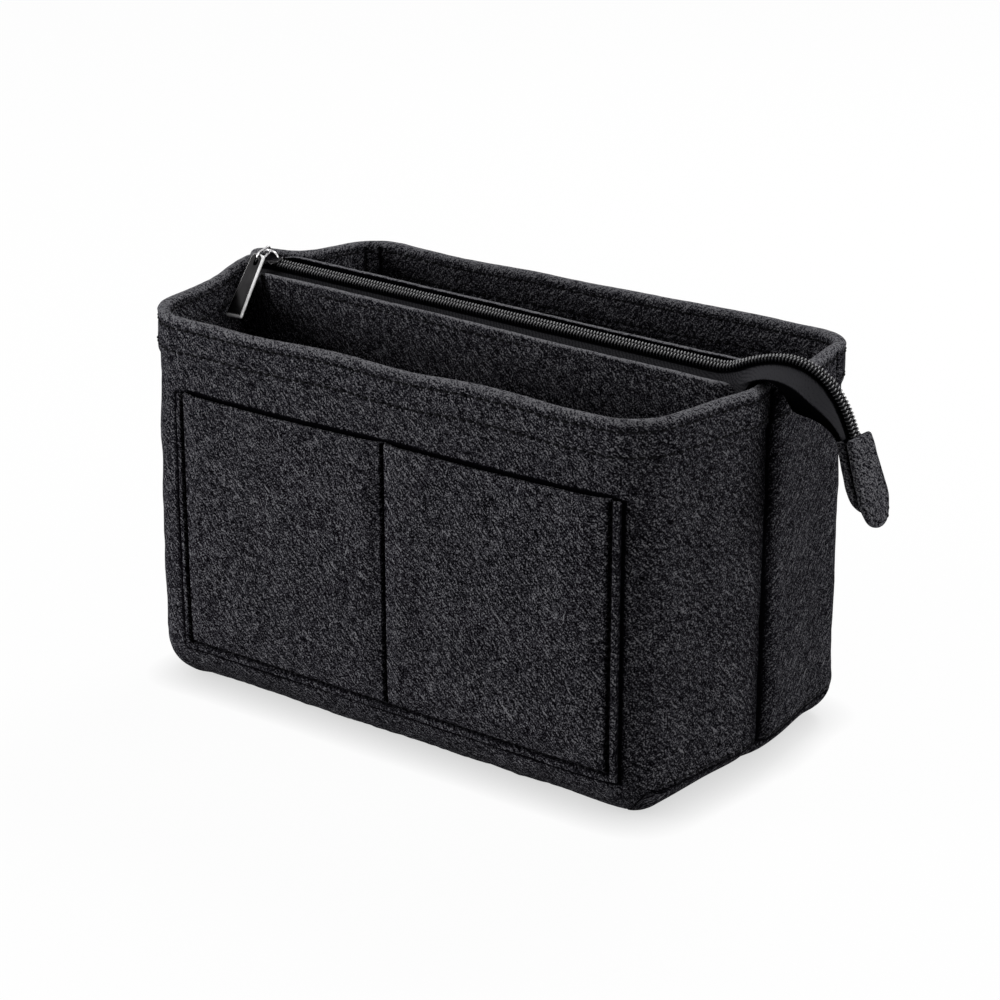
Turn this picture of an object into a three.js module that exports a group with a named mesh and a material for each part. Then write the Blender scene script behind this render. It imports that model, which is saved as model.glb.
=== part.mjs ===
// Felt purse organizer insert: an open tote of charcoal felt with a turned hem,
// two flat pockets on the front, a zipped pouch hung between the end seams and a
// zip tail that hangs over the right end.
// Millimetres. +X right, -Y front, +Z up, origin at the middle of the base on the floor.

import * as THREE from 'three';

// Driving dimensions of the felt body
const bodyLength = 268;
const bodyDepth = 146;
const bodyHeight = 161;
const feltThickness = 2.6;
const cornerRadius = 20;
const baseCornerRadius = 4;
const endLean = 8;
const bottomRadius = 20;
const seamDip = 3.5;
const seamSpread = 5;
const hemDepth = 17;
const hemBulge = 1.2;
const rimRise = 7;
const rimRiseSpread = 24;
const endSeamHeight = 13;
const endFootDraw = 6.5;
const baseMargin = 2.5;

// Driving dimensions of the front pockets
const pocketWidth = 221;
const pocketShift = 5.5;
const pocketDrop = 30;
const pocketBottom = 19;
const pocketGap = 2;
const flangeWidth = 5;
const flangeStep = 2;
const pocketEase = 9;
const stitchPinch = 0.55;

// Driving dimensions of the zipped pouch
const pouchHalf = 8.5;
const pouchDepth = 132;
const pouchTaper = 16;
const pouchEndDrop = 7;
const pouchSeamDepth = 9;
const pouchFold = 38;
const zipLiftLeft = 6;
const zipLiftRight = 1.5;
const zipRoll = 14;
const tapeDrop = 2.3;
const tapeThickness = 0.8;
const tapeSkirt = 7.5;
const coilHalf = 3;
const coilHeight = 2.4;
const coilSlit = 1.2;

// Driving dimensions of the slider, its link and its pull
const sliderSetback = 3;
const sliderLength = 10.4;
const sliderHalf = 4.1;
const plateThickness = 0.9;
const postWidth = 0.6;
const crownSpan = 7.6;
const crownRise = 3;
const crownWidth = 1;
const crownThickness = 0.8;
const linkWire = 0.9;
const linkNearRadius = 1.35;
const linkFarRadius = 2.15;
const linkReach = 5;
const linkOffset = 1;
const linkAngle = 22;
const pullAngle = 54;
const pullLength = 27;
const pullTopWidth = 5.4;
const pullEndWidth = 7.8;
const pullThickness = 1.2;
const pullSlotWidth = 2.3;
const pullSlotTop = 1.3;
const pullSlotFoot = 3;
const pullTopBar = 0.8;

// Driving dimensions of the zip tail and its felt tab
const tailRootGap = 14;
const tailReach = 55.2;
const tailDrop = 17;
const tailRiseAngle = 28;
const tailFallAngle = 72;
const tailRiseHandle = 28;
const tailFallHandle = 31;
const tailWing = 9.5;
const tailWingDrop = 6.2;
const tailEndWing = 5.5;
const tailEndDrop = 2.6;
const tabLength = 33.5;
const tabTopWidth = 12;
const tabWidth = 16;
const tabShoulder = 20;
const tabSplit = 0.6;

// Threads and clearances
const threadSize = 0.8;
const rimStitchDrop = 4.5;
const endStitchLift = 3;
const pouchStitchDrop = 4;
const pouchStitchLift = 4;
const tabStitchInset = 2;
const fitGap = 0.3;
const loosePlay = 0.4;

const radians = THREE.MathUtils.degToRad;
const smoothstep = THREE.MathUtils.smoothstep;
const lerp = THREE.MathUtils.lerp;

const part = new THREE.Group();

function material(color, roughness, metalness) {
  return new THREE.MeshStandardMaterial({ color, roughness, metalness, side: THREE.FrontSide });
}

const finish = {
  felt: () => material(0x25262a, 0.95, 0),
  tape: () => material(0x0d0d0f, 0.85, 0),
  coil: () => material(0x17171a, 0.45, 0),
  gunmetal: () => material(0x3b3b40, 0.2, 1),
  steel: () => material(0xb9b9be, 0.18, 1),
  thread: () => material(0x0b0b0d, 0.7, 0),
};

function add(name, geometry, look, place = part) {
  const mesh = new THREE.Mesh(geometry, look());
  mesh.name = name;
  place.add(mesh);
}

// Triangles of a flat outline, wound the way the outline runs
function fillOutline(outline) {
  const flat = outline.map(([a, b]) => new THREE.Vector2(a, b));
  const triangles = THREE.ShapeUtils.triangulateShape(flat, []);
  const covered = triangles.reduce((sum, corners) => sum + THREE.ShapeUtils.area(corners.map((k) => flat[k])), 0);
  const sameTurn = covered * THREE.ShapeUtils.area(flat) > 0;
  return sameTurn ? triangles : triangles.map(([a, b, c]) => [a, c, b]);
}

// Closed geometry from points and triangles, turned so that its faces point out
function closedGeometry(points, faces) {
  const volume = faces.reduce((sum, [a, b, c]) => {
    const normal = new THREE.Vector3().crossVectors(points[b], points[c]);
    return sum + points[a].dot(normal);
  }, 0);
  const wound = volume > 0 ? faces : faces.map(([a, b, c]) => [a, c, b]);
  const geometry = new THREE.BufferGeometry();
  geometry.setAttribute('position', new THREE.Float32BufferAttribute(points.flatMap((p) => p.toArray()), 3));
  geometry.setIndex(wound.flat());
  geometry.computeVertexNormals();
  return geometry;
}

// Body through a row of sections: outlines are lists of [a, b], place(station, a, b) puts them in space
function loft(stations, outlineAt, place) {
  const outlines = stations.map(outlineAt);
  const count = outlines[0].length;
  const points = outlines.flatMap((outline, row) => outline.map(([a, b]) => place(stations[row], a, b)));
  const faces = [];
  for (let row = 0; row + 1 < stations.length; row += 1) {
    for (let k = 0; k < count; k += 1) {
      const here = row * count + k;
      const next = row * count + ((k + 1) % count);
      faces.push([here, next, next + count], [here, next + count, here + count]);
    }
  }
  const last = (stations.length - 1) * count;
  fillOutline(outlines[0]).forEach(([a, b, c]) => faces.push([a, c, b]));
  fillOutline(outlines[stations.length - 1]).forEach(([a, b, c]) => faces.push([last + a, last + b, last + c]));
  return closedGeometry(points, faces);
}

function steps(from, to, count) {
  return Array.from({ length: count + 1 }, (_, k) => lerp(from, to, k / count));
}

const lean = radians(endLean);
const halfDepth = bodyDepth / 2;
const cornerTurn = Math.PI / 2 - lean;
const cornerRun = cornerRadius * cornerTurn;
const endRun = (halfDepth - cornerRadius * (1 - Math.sin(lean))) / Math.cos(lean);
const frontRun = bodyLength / 2 - cornerRadius * Math.cos(lean) - endRun * Math.sin(lean);
const quarterRun = frontRun + cornerRun + endRun;

// Plan of the body, some depth inside its skin: a straight front, a round corner and an end that leans out
// to its seam, less what is drawn in there. The corner tightens with depth, down to the corner of the base
function planPoint(run, depth, drawn) {
  const radius = Math.max(cornerRadius - depth, baseCornerRadius);
  const moved = Math.max(depth - cornerRadius + baseCornerRadius, 0);
  const middleX = frontRun - (moved * (1 - Math.sin(lean))) / Math.cos(lean);
  const middleY = cornerRadius + moved - halfDepth;
  if (run <= frontRun) {
    return [(middleX * run) / frontRun, depth - halfDepth];
  }
  const turn = Math.min((run - frontRun) / cornerRadius, cornerTurn);
  const share = Math.max(run - frontRun - cornerRun, 0) / endRun;
  const x = middleX + radius * Math.sin(turn);
  const y = middleY - radius * Math.cos(turn);
  return [lerp(x, bodyLength / 2 - depth - drawn, share), lerp(y, 0, share)];
}

// Upright profile: height is measured along the skin from the edge of the flat base
const bottomArc = (bottomRadius * Math.PI) / 2;
const skinHeight = bottomArc + bodyHeight - bottomRadius;
const endSeamSkin = bottomArc - bottomRadius * Math.asin(1 - endSeamHeight / bottomRadius);

function skinAt(z) {
  return z - bottomRadius + bottomArc;
}

function profilePoint(inward, height) {
  if (height >= bottomArc) {
    return [inward, height - bottomArc + bottomRadius];
  }
  if (height <= 0) {
    return [bottomRadius - height, inward];
  }
  const turn = (bottomArc - height) / bottomRadius;
  const reach = bottomRadius - inward;
  return [bottomRadius - reach * Math.cos(turn), bottomRadius - reach * Math.sin(turn)];
}

function dipAt(run, height) {
  const fromSeam = (quarterRun - Math.abs(run)) / seamSpread;
  return seamDip * Math.exp(-fromSeam * fromSeam) * smoothstep(height, 0, bottomArc);
}

// The ends stand straight at the foot
function footDrawAt(height) {
  return endFootDraw * (1 - smoothstep(height, 0, bottomArc));
}

// The left rim is drawn up where the zip is sewn into it
function riseAt(run) {
  const fromSeam = (quarterRun + run) / rimRiseSpread;
  return rimRise * Math.exp(-fromSeam * fromSeam);
}

// Point of the body: run is measured from the middle of the front (face -1) or the rear (face 1)
function wallPoint(face, run, inward, height) {
  const [inset, z] = profilePoint(inward, height);
  const [x, y] = planPoint(Math.abs(run), inset + dipAt(run, height), footDrawAt(height));
  return new THREE.Vector3(run < 0 ? -x : x, -face * y, z);
}

// Stations of one quarter, close together at the seam and around the corner
function quarterStations(endGap) {
  const nearSeam = [0, 0.25, 0.5, 0.8, 1.2, 1.9].map((k) => quarterRun - endGap - k * seamSpread);
  const alongEnd = [0.5].map((k) => lerp(quarterRun, frontRun + cornerRun, k));
  const corner = steps(frontRun + cornerRun, frontRun, 8);
  const front = [frontRun / 2];
  return [...nearSeam, ...alongEnd, ...corner, ...front];
}

function faceStations(endGap) {
  const half = quarterStations(endGap);
  return [...half.map((run) => -run), 0, ...half.reverse()];
}

// Lower edge of a wrap: on the flat base at front and rear, up at the cross seam on the ends
function wrapFoot(run) {
  const turned = smoothstep(Math.abs(run), frontRun + cornerRun * 0.2, frontRun + cornerRun * 0.9);
  return lerp(0, endSeamSkin, turned);
}

const hemThickness = 2 * feltThickness;
const hemInner = hemThickness - hemBulge;
const foldRadius = feltThickness * 0.8;

function wrapOutline(run) {
  const foot = wrapFoot(run);
  const top = skinHeight + riseAt(run);
  const hemLow = top - hemDepth;
  const lower = [0, 0.35, 0.7, 1].map((k) => lerp(foot, bottomArc, k));
  const outer = lower.map((height) => [0, height]);
  const inner = lower.map((height) => [feltThickness, height]).reverse();
  const hem = [
    [0, hemLow - foldRadius],
    [-hemBulge, hemLow + foldRadius],
    [-hemBulge, top - foldRadius],
    [foldRadius * 0.4 - hemBulge, top - foldRadius * 0.4],
    [hemThickness / 2 - hemBulge, top],
    [hemInner - foldRadius * 0.4, top - foldRadius * 0.4],
    [hemInner, top - foldRadius],
    [hemInner, hemLow],
    [feltThickness, hemLow],
  ];
  return [...outer, ...hem, ...inner];
}

for (const [name, face] of [['front_wrap', -1], ['rear_wrap', 1]]) {
  const place = (run, inward, height) => wallPoint(face, run, inward, height);
  add(name, loft(faceStations(fitGap / 2), wrapOutline, place), finish.felt);
}

// Base: a flat sheet whose ends turn up to the cross seams
function basePanel() {
  const quarter = quarterStations(0).reverse();
  const ring = [];
  for (const [face, side] of [[-1, 1], [1, 1], [1, -1], [-1, -1]]) {
    const runs = face * side < 0 ? [0, ...quarter] : [...quarter].reverse();
    runs.forEach((run) => ring.push([face, side * run]));
  }
  const stations = ring.filter(([face, run], k) => {
    const [lastFace, lastRun] = ring[(k + ring.length - 1) % ring.length];
    const here = wallPoint(face, run, 0, 0);
    return here.distanceTo(wallPoint(lastFace, lastRun, 0, 0)) > fitGap;
  });
  const count = stations.length;
  const layers = [0, feltThickness].map((inward) => [0, 0.3, 0.6, 1].map((k) => stations.map(([face, run]) => {
    const height = lerp(wrapFoot(run) - 2 * fitGap, -baseMargin, k);
    return wallPoint(face, run, inward, height);
  })));
  const rings = [...layers[0].reverse(), ...layers[1]];
  const faces = [];
  for (let row = 0; row + 1 < rings.length; row += 1) {
    for (let k = 0; k < count; k += 1) {
      const here = row * count + k;
      const next = row * count + ((k + 1) % count);
      faces.push([here, next, next + count], [here, next + count, here + count]);
    }
  }
  const last = (rings.length - 1) * count;
  const flat = rings[0].map((point) => [point.x, point.y]);
  fillOutline(flat).forEach(([a, b, c]) => faces.push([a, c, b], [last + a, last + b, last + c]));
  return closedGeometry(rings.flat(), faces);
}

add('base_panel', basePanel(), finish.felt);

// Front pocket panel: a felt patch sewn round three sides and down a dividing line
const pocketHalf = pocketWidth / 2;
const pocketLow = skinAt(pocketBottom);
const pocketHigh = skinAt(bodyHeight - pocketDrop);
const seamLine = pocketHalf - flangeWidth;
const seamLow = pocketLow + flangeWidth;

function pocketOutline(run) {
  const fromDivide = Math.abs(run - pocketShift);
  const fromSide = seamLine - fromDivide;
  const top = fromSide < 0 ? pocketHigh - flangeStep : pocketHigh;
  const near = [0, 0.2, 0.5, 0.8, 1, 1.25, 1.6, 2.4].map((k) => pocketLow + k * flangeWidth);
  const far = steps(near[near.length - 1], top, 3).slice(1);
  const sample = (height) => {
    const fromFoot = height - seamLow;
    const inside = Math.min(fromSide, fromFoot, fromSide < 0 ? Infinity : fromDivide);
    const open = smoothstep(inside, 0, pocketEase);
    const edge = Math.min(pocketHalf - fromDivide, height - pocketLow);
    const full = smoothstep(Math.min(Math.abs(inside), edge + flangeWidth / 5), 0, flangeWidth / 2);
    const under = fitGap + pocketGap * open;
    return { under, over: under + feltThickness * lerp(stitchPinch, 1, full) };
  };
  const heights = [...near, ...far];
  const outer = heights.map((height) => [-sample(height).over, height]);
  const inner = heights.map((height) => [-sample(height).under, height]).reverse();
  return [...outer, ...inner];
}

function pocketStations() {
  const sides = [0, 0.2, 0.5, 0.8, 1, 1.25, 1.6, 2.4].map((k) => pocketHalf - k * flangeWidth);
  const halves = [...sides, seamLine / 2].flatMap((run) => [-run, run]);
  const middle = [-1, -0.5, -0.25, 0, 0.25, 0.5, 1].map((k) => k * pocketEase);
  return [...halves, ...middle].sort((a, b) => a - b).map((run) => run + pocketShift);
}

const frontPoint = (run, inward, height) => wallPoint(-1, run, inward, height);
add('front_pocket_panel', loft(pocketStations(), pocketOutline, frontPoint), finish.felt);

// Zip line: it falls from the left end to the tail and is rolled towards the front
const pouchEnd = bodyLength / 2 - seamDip - hemInner - fitGap * 2;
const tailRoot = pouchEnd - tailRootGap;
const zipLeft = -pouchEnd;
const zipSlope = (zipLiftRight - zipLiftLeft) / (tailRoot - zipLeft);
const roll = radians(zipRoll);

function zipHeight(x) {
  return bodyHeight + zipLiftLeft + zipSlope * (x - zipLeft);
}

function zipPoint(x, across, up) {
  const y = across * Math.cos(roll) - up * Math.sin(roll);
  return new THREE.Vector3(x, y, zipHeight(x) + across * Math.sin(roll) + up * Math.cos(roll));
}

// Half of the pouch's inner width: it closes towards the end seams
const pouchEndHalf = tapeThickness + 3 * fitGap;

function pouchOpened(x) {
  return smoothstep(pouchEnd - Math.abs(x), 0, pouchTaper);
}

function pouchInner(x) {
  return lerp(pouchEndHalf, pouchHalf - feltThickness / 2, pouchOpened(x));
}

// Height of the pouch's cut edge: it drops away below the zip at both ends
function pouchEdge(side, x) {
  const endDrop = pouchEndDrop * (1 - pouchOpened(x));
  return zipHeight(x) - tapeDrop - endDrop + side * pouchHalf * Math.sin(roll);
}

const pouchStations = [
  ...steps(-pouchEnd, -pouchEnd + pouchTaper, 6),
  ...steps(-pouchEnd + pouchTaper, pouchEnd - pouchTaper, 4).slice(1, -1),
  ...steps(pouchEnd - pouchTaper, pouchEnd, 6),
];

function pouchWall(side) {
  const outlineAt = (x) => {
    const inner = pouchInner(x);
    const edge = pouchEdge(side, x);
    const foot = zipHeight(0) - pouchDepth;
    const closed = foot + pouchSeamDepth;
    const crown = feltThickness * 0.3;
    const shut = fitGap / 2;
    return [
      [inner + feltThickness, edge - crown],
      [inner + feltThickness, closed + pouchFold],
      [shut + feltThickness, closed],
      [shut + feltThickness, foot],
      [shut, foot],
      [shut, closed],
      [inner, closed + pouchFold],
      [inner, edge - crown],
      [inner + crown, edge],
      [inner + feltThickness - crown, edge],
    ];
  };
  return loft(pouchStations, outlineAt, (x, across, z) => new THREE.Vector3(x, side * across, z));
}

// Zip tape: a skirt sewn inside the pouch wall, then a slope up to the chain
const tapeTop = -coilHeight / 2 - fitGap;
const tapeInner = coilSlit / 2 + fitGap;

function tapeOuter(x) {
  const sewn = pouchHalf - feltThickness / 2 - fitGap;
  return lerp(sliderHalf + loosePlay, sewn, pouchOpened(x) ** 2);
}

function tapeOutline(side, x) {
  const outer = tapeOuter(x);
  const crease = zipHeight(x) - tapeDrop + side * outer * Math.sin(roll);
  const skirt = lerp(fitGap, tapeSkirt, smoothstep(pouchOpened(x), 0.95, 1));
  const foot = crease - skirt - tapeThickness;
  const chain = zipPoint(x, side * tapeInner, tapeTop);
  const reach = side * chain.y;
  return [
    [outer, foot],
    [outer, crease],
    [reach, chain.z],
    [reach, chain.z - tapeThickness],
    [outer - tapeThickness, crease - tapeThickness],
    [outer - tapeThickness, foot],
  ];
}

function coilOutline(side) {
  const low = coilSlit / 2;
  const half = coilHeight / 2;
  return [
    [side * low, -half],
    [side * coilHalf * 0.75, -half],
    [side * coilHalf, -half * 0.4],
    [side * coilHalf, half * 0.4],
    [side * coilHalf * 0.75, half],
    [side * low, half],
  ];
}

const chainStations = pouchStations.filter((x) => x < tailRoot - fitGap).concat(tailRoot - fitGap);

for (const [name, side] of [['front', -1], ['rear', 1]]) {
  const tapePlace = (x, across, z) => new THREE.Vector3(x, side * across, z);
  add(`pouch_${name}_wall`, pouchWall(side), finish.felt);
  add(`zip_tape_${name}`, loft(chainStations, (x) => tapeOutline(side, x), tapePlace), finish.tape);
  const ends = [zipLeft + fitGap, tailRoot - fitGap];
  add(`zip_coil_${name}`, loft(ends, () => coilOutline(side), zipPoint), finish.coil);
}

// Slider: two plates joined by a thin post that runs between the coil halves
const sliderMiddle = zipLeft + fitGap + sliderSetback + sliderLength / 2;
const plateLow = coilHeight / 2 + fitGap;
const plateTop = plateLow + plateThickness;
const shoeTop = tapeTop - tapeThickness - 2 * fitGap - tapeDrop * 0.3;
const lipEnd = tapeTop + 2 * fitGap;
const lipInner = coilHalf + loosePlay;

function sliderOutline(along) {
  const bow = 1 - 0.14 * Math.abs(2 * along / sliderLength) ** 3;
  const half = sliderHalf * bow;
  const inner = Math.min(lipInner, half - plateThickness / 2);
  const post = postWidth / 2;
  const right = [
    [post, shoeTop],
    [half, shoeTop],
    [half - plateThickness / 3, shoeTop - plateThickness],
  ];
  const upper = [
    [half - plateThickness / 3, plateTop],
    [half, plateLow],
    [half, lipEnd],
    [inner, lipEnd],
    [inner, plateLow],
    [post, plateLow],
  ];
  const mirrored = (points) => points.map(([a, b]) => [-a, b]).reverse();
  return [...upper, ...right, ...mirrored(right), ...mirrored(upper)];
}

const sliderStations = steps(-sliderLength / 2, sliderLength / 2, 6);
const sliderPlace = (along, across, up) => zipPoint(sliderMiddle + along, across, up);
add('slider_body', loft(sliderStations, sliderOutline, sliderPlace), finish.gunmetal);

// Crown: an arched strap over the slider that holds the link
function crownPoint(turn, across, out) {
  const along = -Math.cos(turn) * (crownSpan / 2 + out);
  const up = plateTop + fitGap + Math.sin(turn) * (crownRise + out);
  return sliderPlace(along, across, up);
}

const strap = crownThickness / 2;
const crownOutline = () => [
  [-crownWidth / 2, -strap],
  [crownWidth / 2, -strap],
  [crownWidth / 2, strap],
  [-crownWidth / 2, strap],
];
add('slider_crown', loft(steps(0, Math.PI, 10), crownOutline, crownPoint), finish.steel);

// Unit directions in the plane across the zip, for a piece that leans down to the front
function leaning(degrees) {
  const angle = radians(degrees);
  return {
    away: new THREE.Vector3(0, -Math.cos(angle), -Math.sin(angle)),
    out: new THREE.Vector3(0, -Math.sin(angle), Math.cos(angle)),
  };
}

// Pull link: a pear-shaped wire ring, narrow round the crown's strap and wide at the pull
const sideways = new THREE.Vector3(1, 0, 0);
const linkLean = leaning(linkAngle);
const linkPivot = sliderPlace(-linkOffset, 0, plateTop + fitGap + crownRise);

function linkRing() {
  const rim = steps(0, 2 * Math.PI, 6).slice(0, -1);
  const farHalf = steps(-Math.PI / 2, Math.PI / 2, 8).map((turn) => [turn, linkReach, linkFarRadius]);
  const nearHalf = steps(Math.PI / 2, (3 * Math.PI) / 2, 8).map((turn) => [turn, 0, linkNearRadius]);
  const bends = [...farHalf, ...nearHalf];
  const points = bends.flatMap(([turn, reach, radius]) => rim.map((angle) => {
    const out = radius + Math.cos(angle) * linkWire / 2;
    return linkPivot.clone()
      .addScaledVector(linkLean.away, reach + Math.cos(turn) * out)
      .addScaledVector(linkLean.out, Math.sin(turn) * out)
      .addScaledVector(sideways, Math.sin(angle) * linkWire / 2);
  }));
  const faces = [];
  bends.forEach((_, row) => rim.forEach((__, k) => {
    const here = row * rim.length;
    const there = ((row + 1) % bends.length) * rim.length;
    const next = (k + 1) % rim.length;
    faces.push([here + k, here + next, there + next], [here + k, there + next, there + k]);
  }));
  return closedGeometry(points, faces);
}

add('pull_link', linkRing(), finish.steel);

// Pull: a flat tapered plate with a slot near its top for the link's wire
function pullPlate() {
  const top = pullTopBar + pullSlotTop;
  const topHalf = pullTopWidth / 2;
  const endHalf = pullEndWidth / 2;
  const corner = pullEndWidth / 8;
  const outline = new THREE.Shape();
  outline.moveTo(-endHalf, -pullLength + corner);
  outline.quadraticCurveTo(-endHalf, -pullLength, -endHalf + corner, -pullLength);
  outline.lineTo(endHalf - corner, -pullLength);
  outline.quadraticCurveTo(endHalf, -pullLength, endHalf, -pullLength + corner);
  outline.lineTo(topHalf, 0);
  outline.quadraticCurveTo(topHalf, top, 0, top);
  outline.quadraticCurveTo(-topHalf, top, -topHalf, 0);
  const slotHalf = pullSlotWidth / 2;
  const slot = new THREE.Path();
  slot.absarc(0, pullSlotTop - slotHalf, slotHalf, 0, Math.PI, false);
  slot.absarc(0, slotHalf - pullSlotFoot, slotHalf, Math.PI, 2 * Math.PI, false);
  outline.holes.push(slot);
  const settings = { depth: pullThickness, bevelEnabled: false, curveSegments: 4 };
  return new THREE.ExtrudeGeometry(outline, settings).translate(0, 0, -pullThickness / 2);
}

const pullLean = leaning(pullAngle);
const pullPlace = new THREE.Group();
const pullUp = pullLean.away.clone().negate();
const pullFace = new THREE.Vector3().crossVectors(sideways, pullUp);
pullPlace.applyMatrix4(new THREE.Matrix4().makeBasis(sideways, pullUp, pullFace));
pullPlace.position.copy(linkPivot).addScaledVector(linkLean.away, linkReach + linkFarRadius);
part.add(pullPlace);
add('pull_tab', pullPlate(), finish.gunmetal, pullPlace);

// Zip tail: rises from the pouch's right end over the rim, then falls to the felt tab
const tailStart = new THREE.Vector2(tailRoot, zipHeight(tailRoot));
const tailEnd = new THREE.Vector2(tailRoot + tailReach, tailStart.y - tailDrop);
const riseAngle = radians(tailRiseAngle);
const fallAngle = radians(tailFallAngle);
const tailCurve = new THREE.CubicBezierCurve(
  tailStart,
  new THREE.Vector2(
    tailStart.x + tailRiseHandle * Math.cos(riseAngle),
    tailStart.y + tailRiseHandle * Math.sin(riseAngle),
  ),
  new THREE.Vector2(
    tailEnd.x - tailFallHandle * Math.cos(fallAngle),
    tailEnd.y + tailFallHandle * Math.sin(fallAngle),
  ),
  tailEnd,
);

// Point beside the tail's middle line: across is along Y, up is square to the line
function tailPoint(t, across, up) {
  const middle = tailCurve.getPoint(t);
  const along = tailCurve.getTangent(t);
  const turned = roll * (1 - smoothstep(t, 0, 0.3));
  const y = across * Math.cos(turned) - up * Math.sin(turned);
  const lift = across * Math.sin(turned) + up * Math.cos(turned);
  return new THREE.Vector3(middle.x - along.y * lift, y, middle.y + along.x * lift);
}

const tailLength = tailCurve.getLength();
const tailGap = fitGap / tailLength;
const tailStations = steps(1.5 * tailGap, 1 - tailGap, 18);

function tailTapeOutline(side, t) {
  const spread = smoothstep(t, 0, 0.3);
  const closing = smoothstep(t, 0.65, 1);
  const rootWing = tapeOuter(tailRoot);
  const wing = lerp(lerp(rootWing, tailWing, spread), tailEndWing, closing);
  const rootDrop = -tapeTop + tapeThickness;
  const drop = lerp(lerp(rootDrop, tailWingDrop, spread), tailEndDrop, closing);
  const skirt = lerp(fitGap, tapeSkirt, smoothstep(t, 0.46, 0.66) * (1 - 0.6 * closing));
  return [
    [side * tapeInner, tapeTop],
    [side * wing, -drop],
    [side * wing, -drop - skirt - tapeThickness],
    [side * (wing - tapeThickness), -drop - skirt - tapeThickness],
    [side * (wing - tapeThickness), -drop - tapeThickness],
    [side * tapeInner, tapeTop - tapeThickness],
  ];
}

for (const [name, side] of [['front', -1], ['rear', 1]]) {
  const tape = loft(tailStations, (t) => tailTapeOutline(side, t), tailPoint);
  add(`tail_tape_${name}`, tape, finish.tape);
  add(`tail_coil_${name}`, loft(tailStations, () => coilOutline(side), tailPoint), finish.coil);
}

// Felt tab: two leaves sewn together over the end of the zip
function tabOutline(inset) {
  const top = tabTopWidth / 2 - inset;
  const wide = tabWidth / 2 - inset;
  const outline = new THREE.Shape();
  outline.moveTo(-top, -inset);
  outline.lineTo(-wide, -tabShoulder);
  outline.quadraticCurveTo(-wide, -tabLength + inset, 0, -tabLength + inset);
  outline.quadraticCurveTo(wide, -tabLength + inset, wide, -tabShoulder);
  outline.lineTo(top, -inset);
  return outline;
}

const tabPlace = new THREE.Group();
const tabAcross = new THREE.Vector3(0, 1, 0);
const tabUp = new THREE.Vector3(-Math.cos(fallAngle), 0, Math.sin(fallAngle));
const tabFace = new THREE.Vector3().crossVectors(tabAcross, tabUp);
tabPlace.applyMatrix4(new THREE.Matrix4().makeBasis(tabAcross, tabUp, tabFace));
tabPlace.position.set(tailEnd.x, 0, tailEnd.y);
part.add(tabPlace);

for (const [name, low] of [['tab_outer_leaf', tabSplit / 2], ['tab_inner_leaf', -tabSplit / 2 - feltThickness]]) {
  const settings = { depth: feltThickness, bevelEnabled: false, curveSegments: 8 };
  add(name, new THREE.ExtrudeGeometry(tabOutline(0), settings).translate(0, 0, low), finish.felt, tabPlace);
}

// Thread laid on the body's skin: a path of [run, height] with its inner side at clear(run, height)
function threadOutline() {
  const half = threadSize / 2;
  return [[-half, 0], [half, 0], [half, threadSize], [-half, threadSize]];
}

function skinThread(face, path, clear) {
  const bends = path.map(([run, height], k) => {
    const before = path[Math.max(k - 1, 0)];
    const after = path[Math.min(k + 1, path.length - 1)];
    const first = new THREE.Vector2(run - before[0], height - before[1]).normalize();
    const second = new THREE.Vector2(after[0] - run, after[1] - height).normalize();
    const along = first.clone().add(second).normalize();
    const stretch = first.length() * second.length() > 0 ? 1 / Math.max(along.dot(first), 0.5) : 1;
    return { run, height, sideRun: -along.y * stretch, sideHeight: along.x * stretch };
  });
  return loft(bends, threadOutline, (bend, across, out) => wallPoint(
    face,
    bend.run + bend.sideRun * across,
    -clear(bend.run, bend.height) - out,
    bend.height + bend.sideHeight * across,
  ));
}

for (const [name, face] of [['front', -1], ['rear', 1]]) {
  const runs = faceStations(fitGap);
  const rimPath = runs.map((run) => [run, skinHeight + riseAt(run) - rimStitchDrop]);
  const hemPath = runs.map((run) => [run, skinHeight + riseAt(run) - hemDepth + foldRadius + threadSize]);
  const onHem = () => hemBulge + fitGap;
  add(`rim_thread_${name}`, skinThread(face, rimPath, onHem), finish.thread);
  add(`hem_thread_${name}`, skinThread(face, hemPath, onHem), finish.thread);
}

const onPinch = () => fitGap * 2 + feltThickness * stitchPinch;
const pocketSteps = pocketStations().filter((run) => Math.abs(run - pocketShift) < seamLine);
const pocketTurn = [
  ...steps(pocketHigh - flangeStep, seamLow, 5).map((height) => [pocketShift - seamLine, height]),
  ...pocketSteps.map((run) => [run, seamLow]),
  ...steps(seamLow, pocketHigh - flangeStep, 5).map((height) => [pocketShift + seamLine, height]),
];
add('pocket_edge_thread', skinThread(-1, pocketTurn, onPinch), finish.thread);
const pocketMiddle = steps(seamLow + threadSize + fitGap, pocketHigh, 4).map((height) => [pocketShift, height]);
add('pocket_middle_thread', skinThread(-1, pocketMiddle, onPinch), finish.thread);

// Cross seam thread at the foot of each end, from corner to corner over the end seam
function endThread(side) {
  const height = endSeamSkin + endStitchLift;
  const offsets = quarterStations(0).filter((run) => run > frontRun + cornerRun * 0.8);
  const stations = [
    ...offsets.slice().reverse().map((run) => [-1, run]),
    ...offsets.slice(1).map((run) => [1, run]),
  ];
  return loft(stations, threadOutline, ([face, run], up, out) => wallPoint(
    face,
    side * run,
    -fitGap - out,
    height + up,
  ));
}

// End seam thread: runs down the valley where the two wraps and the pouch are sewn together
function seamThread(side) {
  const foot = endSeamSkin + endStitchLift + threadSize * 2;
  const heights = steps(foot, skinHeight - hemDepth - 2 * foldRadius, 8);
  const outline = () => [[-1, 0], [1, 0], [1, 1], [-1, 1]];
  return loft(heights, outline, (height, across, out) => {
    const point = wallPoint(-1, side * quarterRun, -fitGap * 2 - out * threadSize, height);
    return point.setY(across * threadSize / 2);
  });
}

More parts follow.
